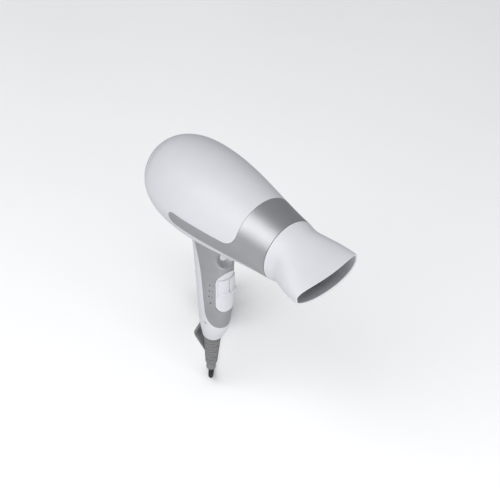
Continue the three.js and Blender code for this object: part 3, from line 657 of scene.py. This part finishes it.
def into_corner(reach):
    """Columns through the band's corner, from where it starts to its steep end."""
    return [fillet_start + reach * math.sin(math.pi / 2 * i / 16) for i in range(1, 17)]


fillet_start = BAND_REAR - BAND_FILLET
rear_columns = evenly(GRILLE_X + SEAM, TONGUE_TIP - 0.2, 20) + eased(TONGUE_TIP - SEAM, tip_x, 12)
top_columns = rear_columns + evenly(tip_x + 2, fillet_start, 26) + into_corner(BAND_FILLET - SEAM)
barrel_top = shell_sheet("barrel_top", top_columns, top_span, 72)
thicken(barrel_top, WALL)
soften(barrel_top, 0.4, 3)
place(barrel_top, white_gloss, "housing", "white_plastic", "barrel_top_shell")
print("white top has", len(barrel_top.data.polygons), "faces before its wall")

# %% [markdown]
# ## Silver band and its tongues
# The band is a ring behind the mouth with a tongue along each side. Ring and tongues share the same rows
# near the corner, so the lacquer runs on without a break: the tongue's rows carry on round the ring, and
# one more sheet closes the ring over the top.

# %% Silver band
TONGUE_ROWS = 14
TOP_ROWS = 44
HAIR = 1e-7                      # tells the tongue's last column from the ring's first


def band_row(x):
    low = angle_at(x, tongue_edge(x, -1, -SEAM))
    if x < BAND_REAR + SEAM:
        return evenly(low, angle_at(x, tongue_edge(x, 1, -SEAM)), TONGUE_ROWS)
    corner = angle_at(BAND_REAR, TONGUE_TOP + BAND_FILLET)
    side = evenly(low, corner, TONGUE_ROWS)
    return side + evenly(corner, math.pi - corner, TOP_ROWS)[1:-1] + [math.pi - a for a in side[::-1]]


tongue_columns = (eased(TONGUE_TIP + SEAM, tip_x, 12) + evenly(tip_x + 2, fillet_start, 26)
                  + into_corner(BAND_FILLET + SEAM))
ring_columns = evenly(BAND_REAR + SEAM, -SEAM, 16)
tongues = []
for mirrored in (False, True):
    grid = [[on_barrel(x, math.pi - a if mirrored else a) for a in band_row(x - HAIR)]
            for x in tongue_columns]
    tongues.append(skin("tongue", grid, flip=not mirrored))
ring = skin("ring", [[on_barrel(x, a) for a in band_row(x + HAIR)] for x in ring_columns], flip=True)
silver_band = join(ring, *tongues)
silver_band.name = "silver_band"
weld(silver_band, 0.00002)
thicken(silver_band, WALL)
soften(silver_band, 0.4, 3)
place(silver_band, silver_lacquer, "housing", "silver_paint", "front_band")
print("band has", len(silver_band.data.polygons), "faces before its wall")

# %% [markdown]
# ## Handle sections
# The handle is an oval tube whose section changes gently from the barrel down to the cord. A short table
# gives the section at a few heights, and a smooth curve fills in between. The front of the oval is the
# silver panel and the rest is white, so one more table gives the seam between them, as seen from the side.

# %% Handle sections
HANDLE = [                       # height, middle in x, half depth, half width
    (-30, -108, 29, 24.5), (-48, -107.5, 26.5, 22.5), (-66, -107, 24, 20.8), (-88, -105.5, 22.4, 19.8),
    (-113, -102.8, 21.6, 19.2), (-134, -101, 20.6, 18.4), (-149, -100.8, 19.2, 17.1),
    (-164, -101.2, 17.6, 15.8), (-173, -101.6, 15.8, 14.2), (-181, -102.6, 13.2, 12),
    (-187, -103.4, 11.4, 10.6),
]
PANEL_SEAM = [                   # height, x of the seam
    (-34, -119), (-59, -111), (-79, -106), (-104, -102), (-130, -98.7), (-146, -96.5), (-155, -91.5),
    (-161, -84), (-163.5, -74),
]
HANDLE_TOP = -41
HANDLE_END = -187
GUARD_X = -103.4                 # the bend guard's axis
LATCH = {"x": -98.5, "z": -157, "window": (2.3, 1.3), "tab": (2.0, 1.0)}


def blended(rows, k, value):
    """Column k of a table of sections, read at a value of column 0 with a smooth curve between rows."""
    table = sorted(rows)
    value = min(max(value, table[0][0]), table[-1][0])
    i = max(j for j in range(len(table) - 1) if table[j][0] <= value or j == 0)
    slope = []
    for j in (i, i + 1):
        low, high = table[max(j - 1, 0)], table[min(j + 1, len(table) - 1)]
        slope.append((high[k] - low[k]) / (high[0] - low[0]))
    span = table[i + 1][0] - table[i][0]
    t = (value - table[i][0]) / span
    a, b = table[i][k], table[i + 1][k]
    return ((2 * t**3 - 3 * t**2 + 1) * a + (t**3 - 2 * t**2 + t) * span * slope[0]
            + (3 * t**2 - 2 * t**3) * b + (t**3 - t**2) * span * slope[1])


def on_handle(z, angle, grow=0.0):
    """A place on the handle; the angle runs from the front (0) over the left side."""
    middle, deep, wide = (blended(HANDLE, k, z) for k in (1, 2, 3))
    return (middle + (deep + grow) * math.cos(angle), (wide + grow) * math.sin(angle), z)


def seam_angle(z, gap):
    """Half the angle that the front panel takes up at a height; 0 below its end."""
    middle, deep = blended(HANDLE, 1, z), blended(HANDLE, 2, z)
    c = (blended(PANEL_SEAM, 1, z) - middle) / deep
    return 0.0 if c >= 1 else max(0.0, math.acos(max(-1, c)) + gap / deep)


def panel_end(gap):
    """The height at which the seam's two sides meet in front."""
    low, high = PANEL_SEAM[-1][0], PANEL_SEAM[-1][0] + 13.5
    while high - low > 0.001:
        z = (low + high) / 2
        low, high = (low, z) if seam_angle(z, 0) > 0 else (z, high)
    return high - gap


print("panel ends at", round(panel_end(0), 1), "mm")

# %% [markdown]
# ## White lower barrel and handle
# On the real dryer the lower half of the barrel and the back of the handle come from one mould. The barrel
# part is again a sheet of the turned surface. The handle part is a stack of ovals with the front left open
# for the panel. Both get the same wall, and a boolean union makes one moulding of them. Two small windows
# near the lower end let the front panel's latches show.

# %% Lower half of the barrel
def lower_span(x):
    z = tongue_middle - SEAM if x < TONGUE_TIP - SEAM else tongue_edge(x, -1, SEAM)
    return -math.pi - angle_at(x, z), angle_at(x, z)


lower_columns = rear_columns + evenly(tip_x + 2, -SEAM, 44)
white_body = thicken(shell_sheet("white_body", lower_columns, lower_span, 72), WALL)
settle(white_body)
print("lower half has", len(white_body.data.polygons), "faces")

# %% Back of the handle
END_ROUND = 1.6
POINT_REACH = 14                 # the panel draws to its point over this height


def to_point(end, count):
    """Heights that close up towards the panel's point."""
    return [end + POINT_REACH * (1 - math.sin(math.pi / 2 * i / count)) for i in range(1, count + 1)]


stop = panel_end(-SEAM) - 0.02
heights = evenly(HANDLE_TOP, stop + POINT_REACH, 56) + to_point(stop, 16)
heights += evenly(stop - 0.8, HANDLE_END + END_ROUND, 14)
rounding = [(HANDLE_END + END_ROUND * (1 - math.sin(a)), END_ROUND * (1 - math.cos(a)))
            for a in evenly(0.25, math.pi / 2, 4)]


def back_row(z, pull=0.0, count=64):
    half = seam_angle(z, SEAM)
    if z < stop:
        half = 0.0
    return [at(*on_handle(z, a, -pull)) for a in evenly(half, 2 * math.pi - half, count)]


rows = [back_row(z) for z in heights] + [back_row(z, pull) for z, pull in rounding]
middle = at(GUARD_X, 0, HANDLE_END)
for shrink in (0.75, 0.62):
    rows.append([middle + (p - middle) * shrink for p in rows[-1]])
handle_back = thicken(skin("handle_back", rows, flip=True), WALL)
settle(handle_back)
cut(white_body, handle_back, "UNION")
half_x, half_z = LATCH["window"]
for side in (-1, 1):
    window = tube("window", [at(LATCH["x"], side * y, LATCH["z"]) for y in (10, 20)], half_z * MM, 24)
    latch_x = at(LATCH["x"], 0, 0).x
    for v in window.data.vertices:
        v.co.x = latch_x + (v.co.x - latch_x) * half_x / half_z
    cut(white_body, window)
soften(white_body, 0.35, 2, 40)
place(white_body, white_gloss, "housing", "white_plastic", "handle_shell")
print("white body has", len(white_body.data.polygons), "faces")

# %% [markdown]
# ## Silver front of the handle
# A sheet of the same ovals between the two seams. Below the barrel it is pressed in to a finger rest round
# the button: points of the sheet that would lie in front of a shallow bowl are drawn back onto it, and a
# soft blend leaves the rest's rim rounded. A boolean bowl would leave a hard rim there. The openings for
# the plate and the button are cut afterwards, and two small latch tabs fill the windows in the white back.

# %% Silver front
BUTTON = {"z": -63, "r": 7.4}
REST = {"z": -64, "middle": -79.3, "radii": (12, 18, 14), "blend": 3.5}
PANEL_DEPTH = (-98, -60)         # two x, behind and in front of the handle's front skin


def into_rest(x, y, z):
    a, b, c = REST["radii"]
    inside = max(0.0, 1 - (y / b) ** 2 - ((z - REST["z"]) / c) ** 2)
    bowl = REST["middle"] - a * math.sqrt(inside)
    near = max(0.0, 1 - abs(x - bowl) / REST["blend"])
    return min(x, bowl) - near * near * REST["blend"] / 4


def front_row(z, count=48):
    half = seam_angle(z, -SEAM)
    row = []
    for a in evenly(-half, half, count):
        x, y, _ = on_handle(z, a)
        row.append(at(into_rest(x, y, z) if x > -100 else x, y, z))
    return row


end = panel_end(SEAM) + 0.25
heights = evenly(HANDLE_TOP, end + POINT_REACH, 110) + to_point(end, 18)
handle_front = thicken(skin("handle_front", [front_row(z) for z in heights], flip=True), WALL)
settle(handle_front)
print("silver sheet has", len(handle_front.data.polygons), "faces")


# %% Openings in the silver front
def outline_block(name, outline, depth=PANEL_DEPTH):
    """A block with an outline seen from the front, between two x."""
    return solid(name, [[at(x, y, z) for y, z in outline] for x in depth])


PLATE = {"half": 12.8, "top": -83, "bottom": -135, "corner": 9}


def plate_outline(grow):
    half, corner = PLATE["half"] + grow, PLATE["corner"] + grow
    low, crown = PLATE["bottom"] - grow, PLATE["top"] - PLATE["half"]
    points = [(half * math.cos(a), crown + half * math.sin(a)) for a in evenly(0, math.pi, 36)]
    for middle, start in ((-half + corner, math.pi), (half - corner, 1.5 * math.pi)):
        points += [(middle + corner * math.cos(a), low + corner + corner * math.sin(a))
                   for a in evenly(start, start + math.pi / 2, 10)]
    return points


def latch_ring(side, out, scale):
    """A small oval beside the handle, out from its skin."""
    _, y, _ = on_handle(LATCH["z"], math.pi / 2 * side * 0.92, out)
    half_x, half_z = (half * scale for half in LATCH["tab"])
    return [at(LATCH["x"] + half_x * math.cos(a), y, LATCH["z"] + half_z * math.sin(a))
            for a in all_round(24)]


cut(handle_front, outline_block("plate_hole", plate_outline(0.5)))
hole_line = [at(x, 0, BUTTON["z"]) for x in (-100, -70)]
cut(handle_front, tube("button_hole", hole_line, (BUTTON["r"] + 0.3) * MM, 64))
tab_profile = ((-1.6, 1), (-0.7, 1), (-0.45, 0.8), (-0.4, 0.3))
join(handle_front, *(solid("latch", [latch_ring(side, *step) for step in tab_profile]) for side in (-1, 1)))
soften(handle_front, 0.3, 2, 40)
place(handle_front, silver_lacquer, "housing", "silver_paint", "handle_front_panel")
print("silver front has", len(handle_front.data.polygons), "faces")

# %% [markdown]
# ## Switch plate
# The white plate follows the handle's front half a millimetre proud. It starts as a curved slab laid on
# the handle's skin, is trimmed to its outline by an intersecting block, and gets a slot for each slider's
# neck. Trimming a slab keeps the plate's curve true, which a flat outline bent afterwards would not.

# %% Switch plate
SLIDER = {"z": -108, "wide": 11.6, "up": 16.5, "down": 5.5, "split": 0.5, "pad": 2.0, "ridge": 5.4,
          "ridge_half": 1.4, "round": 0.8}
STEM_Z = SLIDER["z"] + 5.4
slider_y = SLIDER["split"] / 2 + SLIDER["wide"] / 2


def front_of(y, z, grow=0.0):
    """x of the handle's front skin at a width and a height."""
    middle, deep, wide = (blended(HANDLE, k, z) for k in (1, 2, 3))
    return middle + (deep + grow) * math.sqrt(max(0.0, 1 - (y / (wide + grow)) ** 2))


def slab(name, y_range, z_range, low, high, steps):
    """A closed slab on the handle's front between two heights above it, given as functions of y and z."""
    ys, zs = evenly(*y_range, steps[0]), evenly(*z_range, steps[1])
    rows = []
    for z in zs:
        top, under = ([at(front_of(y, z) + height(y, z), y, z) for y in ys] for height in (high, low))
        rows.append(top + under[::-1])
    return solid(name, rows)


def oblong(y, z, half_y, half_z):
    return [(y + a * half_y, z + b * half_z) for a, b in ((-1, -1), (1, -1), (1, 1), (-1, 1))]


switch_plate = slab("switch_plate_face", (-13.4, 13.4), (-138, -80),
                    lambda y, z: -2.0, lambda y, z: 0.5, (44, 72))
cut(switch_plate, outline_block("plate_shape", plate_outline(0)), "INTERSECT")
for side in (-1, 1):
    cut(switch_plate, outline_block("slot", oblong(side * slider_y, STEM_Z, 2.3, 10.8)))
soften(switch_plate, 0.35, 3, 45)
place(switch_plate, white_gloss, "housing", "white_plastic", "switch_plate")
print("plate has", len(switch_plate.data.polygons), "faces")

# %% [markdown]
# ## Sliders
# Two sliders ride on the plate side by side, one for heat and one for speed. Each is a thin pad with a
# thumb ridge across its lower end and a neck that reaches through its slot. A pad is a grid laid on the
# handle whose height falls off in a rounded edge, which is quicker to control than a bevel on a curved
# block.

# %% Sliders
def pad_height(y, z, middle):
    """Height of a slider above the handle: flat, rounded off at its edges, with a ridge across."""
    half_y, low, high = SLIDER["wide"] / 2, SLIDER["z"] - SLIDER["down"], SLIDER["z"] + SLIDER["up"]
    round_r = SLIDER["round"]
    edge = min(half_y - abs(y - middle), z - low, high - z, round_r)
    drop = round_r - math.sqrt(max(0.0, round_r**2 - (round_r - edge) ** 2))
    away = abs(z - SLIDER["z"]) / SLIDER["ridge_half"]
    crest = math.exp(-(away**4)) * (SLIDER["ridge"] - SLIDER["pad"])
    side = min(1.0, (half_y - abs(y - middle)) / 1.0)
    return SLIDER["pad"] + crest * smooth(side) - drop


for name, side in (("heat", -1), ("speed", 1)):
    middle = side * slider_y
    pad = slab(f"{name}_pad", (middle - SLIDER["wide"] / 2, middle + SLIDER["wide"] / 2),
               (SLIDER["z"] - SLIDER["down"], SLIDER["z"] + SLIDER["up"]),
               lambda y, z: 0.75, lambda y, z, m=middle: pad_height(y, z, m), (40, 84))
    neck_depth = (-92.2, front_of(middle, STEM_Z) + 1.2)
    join(pad, outline_block("neck", oblong(middle, STEM_Z, 2, 2.7), neck_depth))
    place(pad, white_gloss, f"{name}_control", "white_plastic", f"{name}_slider")
print("two sliders")

# %% [markdown]
# ## Cool-shot button
# A short round cap in the finger rest. Its face is slightly domed so that a thumb finds it, and a flange
# behind the panel stops it from falling out. A profile turned about its own axis gives all of that.

# %% A shape turned about an axis along x
def turned_x(name, profile, z=0.0, around=96, ring=False):
    """profile is a list of (x, radius). It ends on the axis, or joins up with its start to make a ring."""
    rows = []
    for x, r in profile:
        rows.append([at(x, -r * math.cos(a), z + r * math.sin(a)) for a in all_round(around)])
    return solid(name, rows, not ring, ring)


def arc(middle, radius, start, end, count):
    return [(middle[0] + radius * math.cos(math.radians(a)), middle[1] + radius * math.sin(math.radians(a)))
            for a in evenly(start, end, count)]


_, button_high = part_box("cool_shot_button")
face_x = (button_high.x - MOUTH.x) / MM
cap_r = BUTTON["r"]
button = turned_x("cool_shot_cap", [
    (face_x - 13.7, 0.01), (face_x - 13.7, 1.5), (face_x - 7.6, 1.6), (face_x - 7.6, cap_r + 1.2),
    (face_x - 6.5, cap_r + 1.2), (face_x - 6.4, cap_r), *arc((face_x - 1.3, cap_r - 1.1), 1.1, 90, 15, 6),
    (face_x - 0.05, cap_r - 3), (face_x, 0.01)], BUTTON["z"], 64)
place(button, white_gloss, "cool_shot", "white_plastic", "cool_shot_button")
print("button face at", round(face_x, 1))

# %% [markdown]
# ## Rear grille
# The back of the barrel is a dome full of fine air holes. They sit on rings, a constant distance apart
# over the dome, and every other ring is turned by half a step so that the pattern reads as one field. Each
# hole is drilled square to the surface. All the drills are one mesh of thin rods, cut in a single boolean,
# which is far quicker than one cut for each hole.

# %% Rear grille
HOLE_PITCH = 3.3
HOLE_R = 0.95
dome_rows = []
dome_start = math.asin(((WIDEST_X - GRILLE_X + SEAM) / REAR_LENGTH) ** (REAR_SQUARENESS / 2))
for b in evenly(dome_start, math.pi / 2, 40):
    x = WIDEST_X - REAR_LENGTH * math.sin(b) ** (2 / REAR_SQUARENESS)
    r = max(0.02, BARREL_R * abs(math.cos(b)) ** (2 / REAR_SQUARENESS))
    dome_rows.append([at(x, -r * math.cos(a), r * math.sin(a)) for a in all_round(128)])
rear_dome = thicken(skin("rear_dome", dome_rows, around=True), WALL)
settle(rear_dome)
print("dome has", len(rear_dome.data.polygons), "faces")


# %% Air holes
def dome_x(r):
    return WIDEST_X - REAR_LENGTH * (1 - (r / BARREL_R) ** REAR_SQUARENESS) ** (1 / REAR_SQUARENESS)


def rod_field(spots, radius, reach, sides=8):
    """Rods that stand square to the dome, one at each (distance from the axis, angle)."""
    points, faces = [], []
    for r, turn in spots:
        first = len(points)
        way = Vector((dome_x(r + 0.1) - dome_x(max(r - 0.1, 0)), 0, 0.1 + min(r, 0.1))).normalized()
        along = Vector((-way.z, 0, way.x))
        for step in (-reach, reach):
            for a in all_round(sides):
                p = Vector((dome_x(r), 0, r)) + along * step + way * radius * math.cos(a)
                aside = radius * math.sin(a)
                points.append(at(p.x, p.z * math.cos(turn) - aside * math.sin(turn),
                                 p.z * math.sin(turn) + aside * math.cos(turn)))
        near = [first + j for j in range(sides)]
        far = [first + sides + j for j in range(sides)]
        faces += [(near[j - 1], near[j], far[j], far[j - 1]) for j in range(sides)]
        faces += [near[::-1], far]
    return outward(mesh_of("rods", points, faces))


spots = [(0.0, 0.0)]
ring_r, ring_number = 0.0, 0
while True:
    lean = (dome_x(ring_r + 0.5) - dome_x(max(ring_r - 0.5, 0))) / (0.5 + min(ring_r, 0.5))
    ring_r += HOLE_PITCH / math.sqrt(1 + lean**2)
    ring_number += 1
    if dome_x(ring_r) > GRILLE_X - 2:
        break
    count = round(2 * math.pi * ring_r / HOLE_PITCH)
    spots += [(ring_r, 2 * math.pi * (i + 0.5 * (ring_number % 2)) / count) for i in range(count)]
cut(rear_dome, rod_field(spots, HOLE_R, 3.0))
print(len(spots), "air holes")

# %% Grille skirt
_, skirt_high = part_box("rear_grille")
skirt_end = (skirt_high.x - MOUTH.x) / MM
filter_low, filter_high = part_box("inlet_filter")
skirt_r = (filter_high.z - filter_low.z) / 2 / MM + 0.3
SKIRT_WALL = 1.5
skirt_outer = skirt_r + SKIRT_WALL
skirt_start = GRILLE_X - SKIRT_WALL
join(rear_dome, turned_x("skirt", [(skirt_start, skirt_r), (skirt_end, skirt_r), (skirt_end, skirt_outer),
                                   (skirt_start, skirt_outer)], ring=True))
soften(rear_dome, 0.12, 1, 50)
place(rear_dome, white_gloss, "grille", "white_plastic", "rear_grille")
print("skirt reaches", round(skirt_end - GRILLE_X, 1), "mm into the barrel")

# %% [markdown]
# ## Slot nozzle
# The nozzle starts as a circle on the barrel's mouth and ends as a wide low slot whose middle bulges
# forward. Each section is a squared oval; a table says how wide, how high and how square it is at a few
# places. The nozzle is left turned a few degrees on the mouth, as it would be in use. A wall and a rounded
# lip follow.

# %% Slot nozzle
NOZZLE = [                       # x, half width, half height, squareness
    (0.3, 33.1, 33.1, 2), (5, 32.1, 31.6, 2), (12, 31.6, 28.8, 2.05), (21, 34.1, 24.9, 2.2),
    (31, 37.1, 20.2, 2.4), (42, 39.3, 15.2, 2.7), (52.5, 40.4, 10.9, 3),
]
NOZZLE_BULGE = 5.8
NOZZLE_TURN = math.radians(8.5)
NOZZLE_WALL = 1.8


def nozzle_row(t, around=144):
    x0 = NOZZLE[0][0] + (NOZZLE[-1][0] - NOZZLE[0][0]) * t
    wide, high, square = (blended(NOZZLE, k, x0) for k in (1, 2, 3))
    row = []
    for a in all_round(around):
        c, s = math.cos(a), math.sin(a)
        y = wide * math.copysign(abs(c) ** (2 / square), c)
        z = high * math.copysign(abs(s) ** (2 / square), s)
        x = x0 + NOZZLE_BULGE * smooth(t) * (1 - (y / wide) ** 2)
        row.append(at(x, y * math.cos(NOZZLE_TURN) - z * math.sin(NOZZLE_TURN),
                      y * math.sin(NOZZLE_TURN) + z * math.cos(NOZZLE_TURN)))
    return row


nozzle = thicken(skin("slot_nozzle", [nozzle_row(t) for t in evenly(0, 1, 64)], around=True), NOZZLE_WALL)
soften(nozzle, 0.5, 3, 50)
place(nozzle, white_gloss, "nozzle", "white_plastic", "nozzle_shell")
print("nozzle has", len(nozzle.data.polygons), "faces before its wall")

# %% [markdown]
# ## Nozzle collar
# A dark heat-proof ring snaps into the barrel's mouth and carries the nozzle, so that the nozzle can turn.
# It is a ring with one section all the way round, so the section is turned about the barrel's axis. Its
# seat and its two ends are measured from the working piece, so the shown ring fits the same way.

# %% Nozzle collar
collar_low, collar_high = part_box("nozzle_collar")
seat_r = (collar_high.z - collar_low.z) / 2 / MM
rear_x, front_x = (collar_low.x - MOUTH.x) / MM, (collar_high.x - MOUTH.x) / MM
bore_r = seat_r - 2.7
collar = turned_x("snap_collar", [
    (rear_x, bore_r), (rear_x, seat_r - 0.4), (rear_x + 0.6, seat_r), (-0.7, seat_r),
    (-0.3, seat_r - 0.4), (-0.3, seat_r - 0.9), (front_x - 0.4, seat_r - 0.9), (front_x, seat_r - 1.3),
    (front_x, bore_r)], ring=True)
soften(collar, 0.25, 2, 30)
place(collar, heatproof_black, "collar", "dark_plastic", "nozzle_collar")
print("collar bore", round(bore_r, 1), "mm")

# %% [markdown]
# ## Bend guard
# The guard is a soft grey cone, cut by short slots in turn on its front and back and on its sides, so that
# it bends evenly with the cord. The slots come from one formula: a groove wave along the cone, let through
# only on half of the way round. That keeps the cone one clean skin, where sixteen boolean cuts would leave
# slivers.

# %% Bend guard
GUARD_TOP_R = 9.8
GUARD_END_R = 6.8
GUARD_TOP_Z = -187.3
GUARD_LENGTH = 41
SLOTS = 8
SLOT_PITCH = 4.4
SLOT_DEPTH = 1.5
SLOT_HALF = 0.75


def guard_radius(z, angle):
    r = GUARD_TOP_R + (GUARD_END_R - GUARD_TOP_R) * (GUARD_TOP_Z - z) / GUARD_LENGTH
    number = (GUARD_TOP_Z - 4 - z) / SLOT_PITCH
    nearest = round(number)
    if not 0 <= nearest < SLOTS:
        return r
    off = abs(number - nearest) * SLOT_PITCH / SLOT_HALF
    face = abs(math.sin(angle)) if nearest % 2 else abs(math.cos(angle))
    open_here = smooth(min(1.0, max(0.0, (face - 0.28) / 0.12)))
    return r - SLOT_DEPTH * open_here * max(0.0, 1 - off**4)


def guard_ring(z, radius):
    """A ring round the guard's axis; radius is a function of the angle."""
    return [at(GUARD_X + radius(a) * math.cos(a), radius(a) * math.sin(a), z) for a in all_round(96)]


guard_end_z = GUARD_TOP_Z - GUARD_LENGTH
rows = [guard_ring(GUARD_TOP_Z, lambda a: 5)]
rows += [guard_ring(z, lambda a: guard_radius(z, a)) for z in evenly(GUARD_TOP_Z, guard_end_z, 150)]
END_COLLAR = ((0.3, 6.2), (1.6, 4.7), (2.2, 4.6), (2.8, 4.9), (3.2, 5.35), (9.8, 5.4), (10.6, 5.1), (11, 4.4))
rows += [guard_ring(guard_end_z - down, lambda a: r) for down, r in END_COLLAR]
bend_guard = solid("bend_guard", rows)
print("guard has", SLOTS, "rows of slots")

# %% [markdown]
# ## Hanging loop
# The loop is a flat strap of the same rubber, so that the dryer can hang from a hook. A rounded rectangle
# is carried along a path whose corners are rounded first. A curve with a bevel object would do the same,
# but here the strap's width stays square to the handle at every bend.

# %% Hanging loop
LOOP = [(-111, -172), (-118, -177.5), (-128.8, -202), (-105, -215)]     # x and height of its corners
LOOP_CORNER = 5.0
LOOP_WIDE = 11
LOOP_WALL = 3.2
LOOP_ROUND = 1.0


def rounded_path(corners, reach, steps=8):
    """A path through corners, each turned into a smooth bend that starts reach before it."""
    path = [Vector((*corners[0], 0))]
    for i in range(1, len(corners) - 1):
        here = Vector((*corners[i], 0))
        before, after = Vector((*corners[i - 1], 0)), Vector((*corners[i + 1], 0))
        r = min(reach, (before - here).length * 0.45, (after - here).length * 0.45)
        a, b = here + (before - here).normalized() * r, here + (after - here).normalized() * r
        path += [a * (1 - t) ** 2 + here * 2 * t * (1 - t) + b * t * t for t in evenly(0, 1, steps)]
    return [*path, Vector((*corners[-1], 0))]


def strap_section():
    """A rounded rectangle: across the strap's wall, and along its width."""
    section = []
    for sy, sx, start in ((1, 1, 0), (1, -1, 90), (-1, -1, 180), (-1, 1, 270)):
        for a in evenly(start, start + 90, 4):
            section.append((sx * (LOOP_WALL / 2 - LOOP_ROUND) + LOOP_ROUND * math.cos(math.radians(a)),
                            sy * (LOOP_WIDE / 2 - LOOP_ROUND) + LOOP_ROUND * math.sin(math.radians(a))))
    return section


path = rounded_path(LOOP, LOOP_CORNER)
rows = []
for i, p in enumerate(path):
    way = (path[min(i + 1, len(path) - 1)] - path[max(i - 1, 0)]).normalized()
    rows.append([at(p.x - way.y * across, along, p.y + way.x * across) for across, along in strap_section()])
join(bend_guard, solid("hanging_loop", rows))
place(bend_guard, grey_rubber, "housing", "grey_rubber", "cord_guard")
print("guard and loop have", len(bend_guard.data.polygons), "faces")

# %% [markdown]
# ## Level marks
# Beside the sliders the handle carries small printed marks that show their settings: plain dots and a bar,
# without letters. A painted texture would need an image, so they are thin pads of ink that lie on the
# lacquer.

# %% Level marks
def ink_spot(name, z, angle, size, lift=0.06):
    """A thin oval of ink on the handle's skin."""
    middle = Vector(on_handle(z, angle, lift))
    beside = (Vector(on_handle(z, angle + 0.05, lift)) - middle).normalized()
    below = (Vector(on_handle(z - 1, angle, lift)) - middle).normalized()
    out = beside.cross(below)
    if out.dot(Vector((math.cos(angle), math.sin(angle), 0))) < 0:
        out = -out
    wide, tall = size
    rows = []
    for scale, high in ((1, -0.1), (1, 0.02), (0.85, 0.06), (0.3, 0.07)):
        rows.append([at(*(middle + out * high + beside * wide * scale * math.cos(a)
                          + below * tall * scale * math.sin(a))) for a in all_round(20)])
    return solid(name, rows)


def side_angle(z, x):
    """The handle angle on the right side at a height and an x."""
    middle, deep = blended(HANDLE, 1, z), blended(HANDLE, 2, z)
    return -math.acos((x - middle) / deep)


marks = []
for z in (-99, -106.8, -114.4):
    marks.append(ink_spot("mark", z, side_angle(z, -92.9), (0.95, 0.8)))
    marks.append(ink_spot("mark", z, side_angle(z, -89.8), (0.45, 0.7)))
marks.append(ink_spot("mark", -123.2, side_angle(-123.2, -91.2), (0.8, 1.3)))
level_marks = join(marks[0], *marks[1:])
level_marks.name = "level_marks"
place(level_marks, ink_grey, "housing", "dark_plastic")
print("seven marks")

# %% [markdown]
# ## Finishes for the inner pieces
# The pieces inside hardly show, so they keep their working shapes and only get their finish: mica and wire
# in the heater, black heat-proof plastic for the fan and the duct, steel for the motor and the screws.

# %% Inner pieces
INNER = {
    heatproof_black: ["outlet_grille", "fan_housing", "fan_impeller", "heat_switch", "speed_switch",
                      "cool_shot_switch", "cord_clamp", "thermostat"],
    bright_steel: ["motor_shaft", "fan_motor", "cool_shot_spring", "clamp_screw_right", "clamp_screw_left",
                   "thermal_fuse"],
    mica_sheet: ["mica_sleeve", "mica_board_upright", "mica_board_flat"],
    resistance_wire: ["heating_coil"],
    board_green: ["circuit_board"],
    capacitor_yellow: ["capacitor"],
    filter_gauze: ["inlet_filter"],
}
for material, names in INNER.items():
    for name in names:
        node = frame["nodes"][name]
        node.data.materials.clear()
        node.data.materials.append(material)
print(sum(len(names) for names in INNER.values()), "inner pieces finished")

# %% [markdown]
# ## Table
# A plain pale table catches a soft shadow. Satin lacquer mirrors so much of a white table that its shade
# is lost, so a light path node shows the table darker to rays that come off shiny pieces.

# %% Table
bpy.ops.mesh.primitive_plane_add(size=6, location=(0, 0, TABLE_Z * MM))
table = bpy.context.object
table.name = "table"


def dimmer_in_reflections(material, share):
    """Shiny pieces see this surface darker than the eye does, so that the lacquer keeps its contrast."""
    tree, shader = shader_of(material)
    rays = tree.nodes.new("ShaderNodeLightPath")
    kept = node_in(tree, "ShaderNodeMapRange", To_Min=1.0, To_Max=share)
    scaled = tree.nodes.new("ShaderNodeVectorMath")
    scaled.operation = "SCALE"
    tree.links.new(rays.outputs["Is Glossy Ray"], kept.inputs["Value"])
    tree.links.new(shader.inputs["Base Color"].links[0].from_socket, scaled.inputs[0])
    tree.links.new(kept.outputs["Result"], scaled.inputs["Scale"])
    tree.links.new(scaled.outputs[0], shader.inputs["Base Color"])
    return material


table.data.materials.append(dimmer_in_reflections(
    finish("table_pale", (0.96, 0.96, 0.96), (0.98, 0.98, 0.98), (0.7, 0.8), 60, 0.0001, drift=3), 0.45))
print("table at", TABLE_Z, "mm")

# %% [markdown]
# ## Light
# One large soft lamp stands to the right and above, and a weaker one in front lights the nozzle and the
# lower handle. The room adds an even light from all sides, and like the table it looks dimmer to shiny
# pieces, so the band keeps its dark and bright streaks.

# %% Lights
def soft_light(name, place_at, size, power, look_at=(0, 0, 0.06)):
    lamp = bpy.data.objects.new(name, bpy.data.lights.new(name, "AREA"))
    bpy.context.scene.collection.objects.link(lamp)
    lamp.data.shape = "DISK"
    lamp.data.size = size
    lamp.data.energy = power
    lamp.location = place_at
    lamp.rotation_euler = (Vector(look_at) - Vector(place_at)).to_track_quat("-Z", "Y").to_euler()
    return lamp


def studio_world(soft, reflected):
    """An even pale room. Shiny pieces see a dimmer room than the one that lights them."""
    world = bpy.data.worlds.new("studio")
    world.use_nodes = True
    tree = world.node_tree
    room = tree.nodes["Background"]
    room.inputs["Color"].default_value = (0.97, 0.98, 1, 1)
    rays = tree.nodes.new("ShaderNodeLightPath")
    dim = node_in(tree, "ShaderNodeMapRange", To_Min=soft, To_Max=reflected)
    tree.links.new(rays.outputs["Is Glossy Ray"], dim.inputs["Value"])
    tree.links.new(dim.outputs["Result"], room.inputs["Strength"])
    return world


soft_light("key", (-0.1, -1.3, 1.3), 2.0, 21)
soft_light("fill", (1.4, -0.3, 0.5), 1.0, 10)
bpy.context.scene.world = studio_world(0.6, 0.2)
bpy.context.scene.view_settings.view_transform = "Standard"
print("two lamps and an even room")
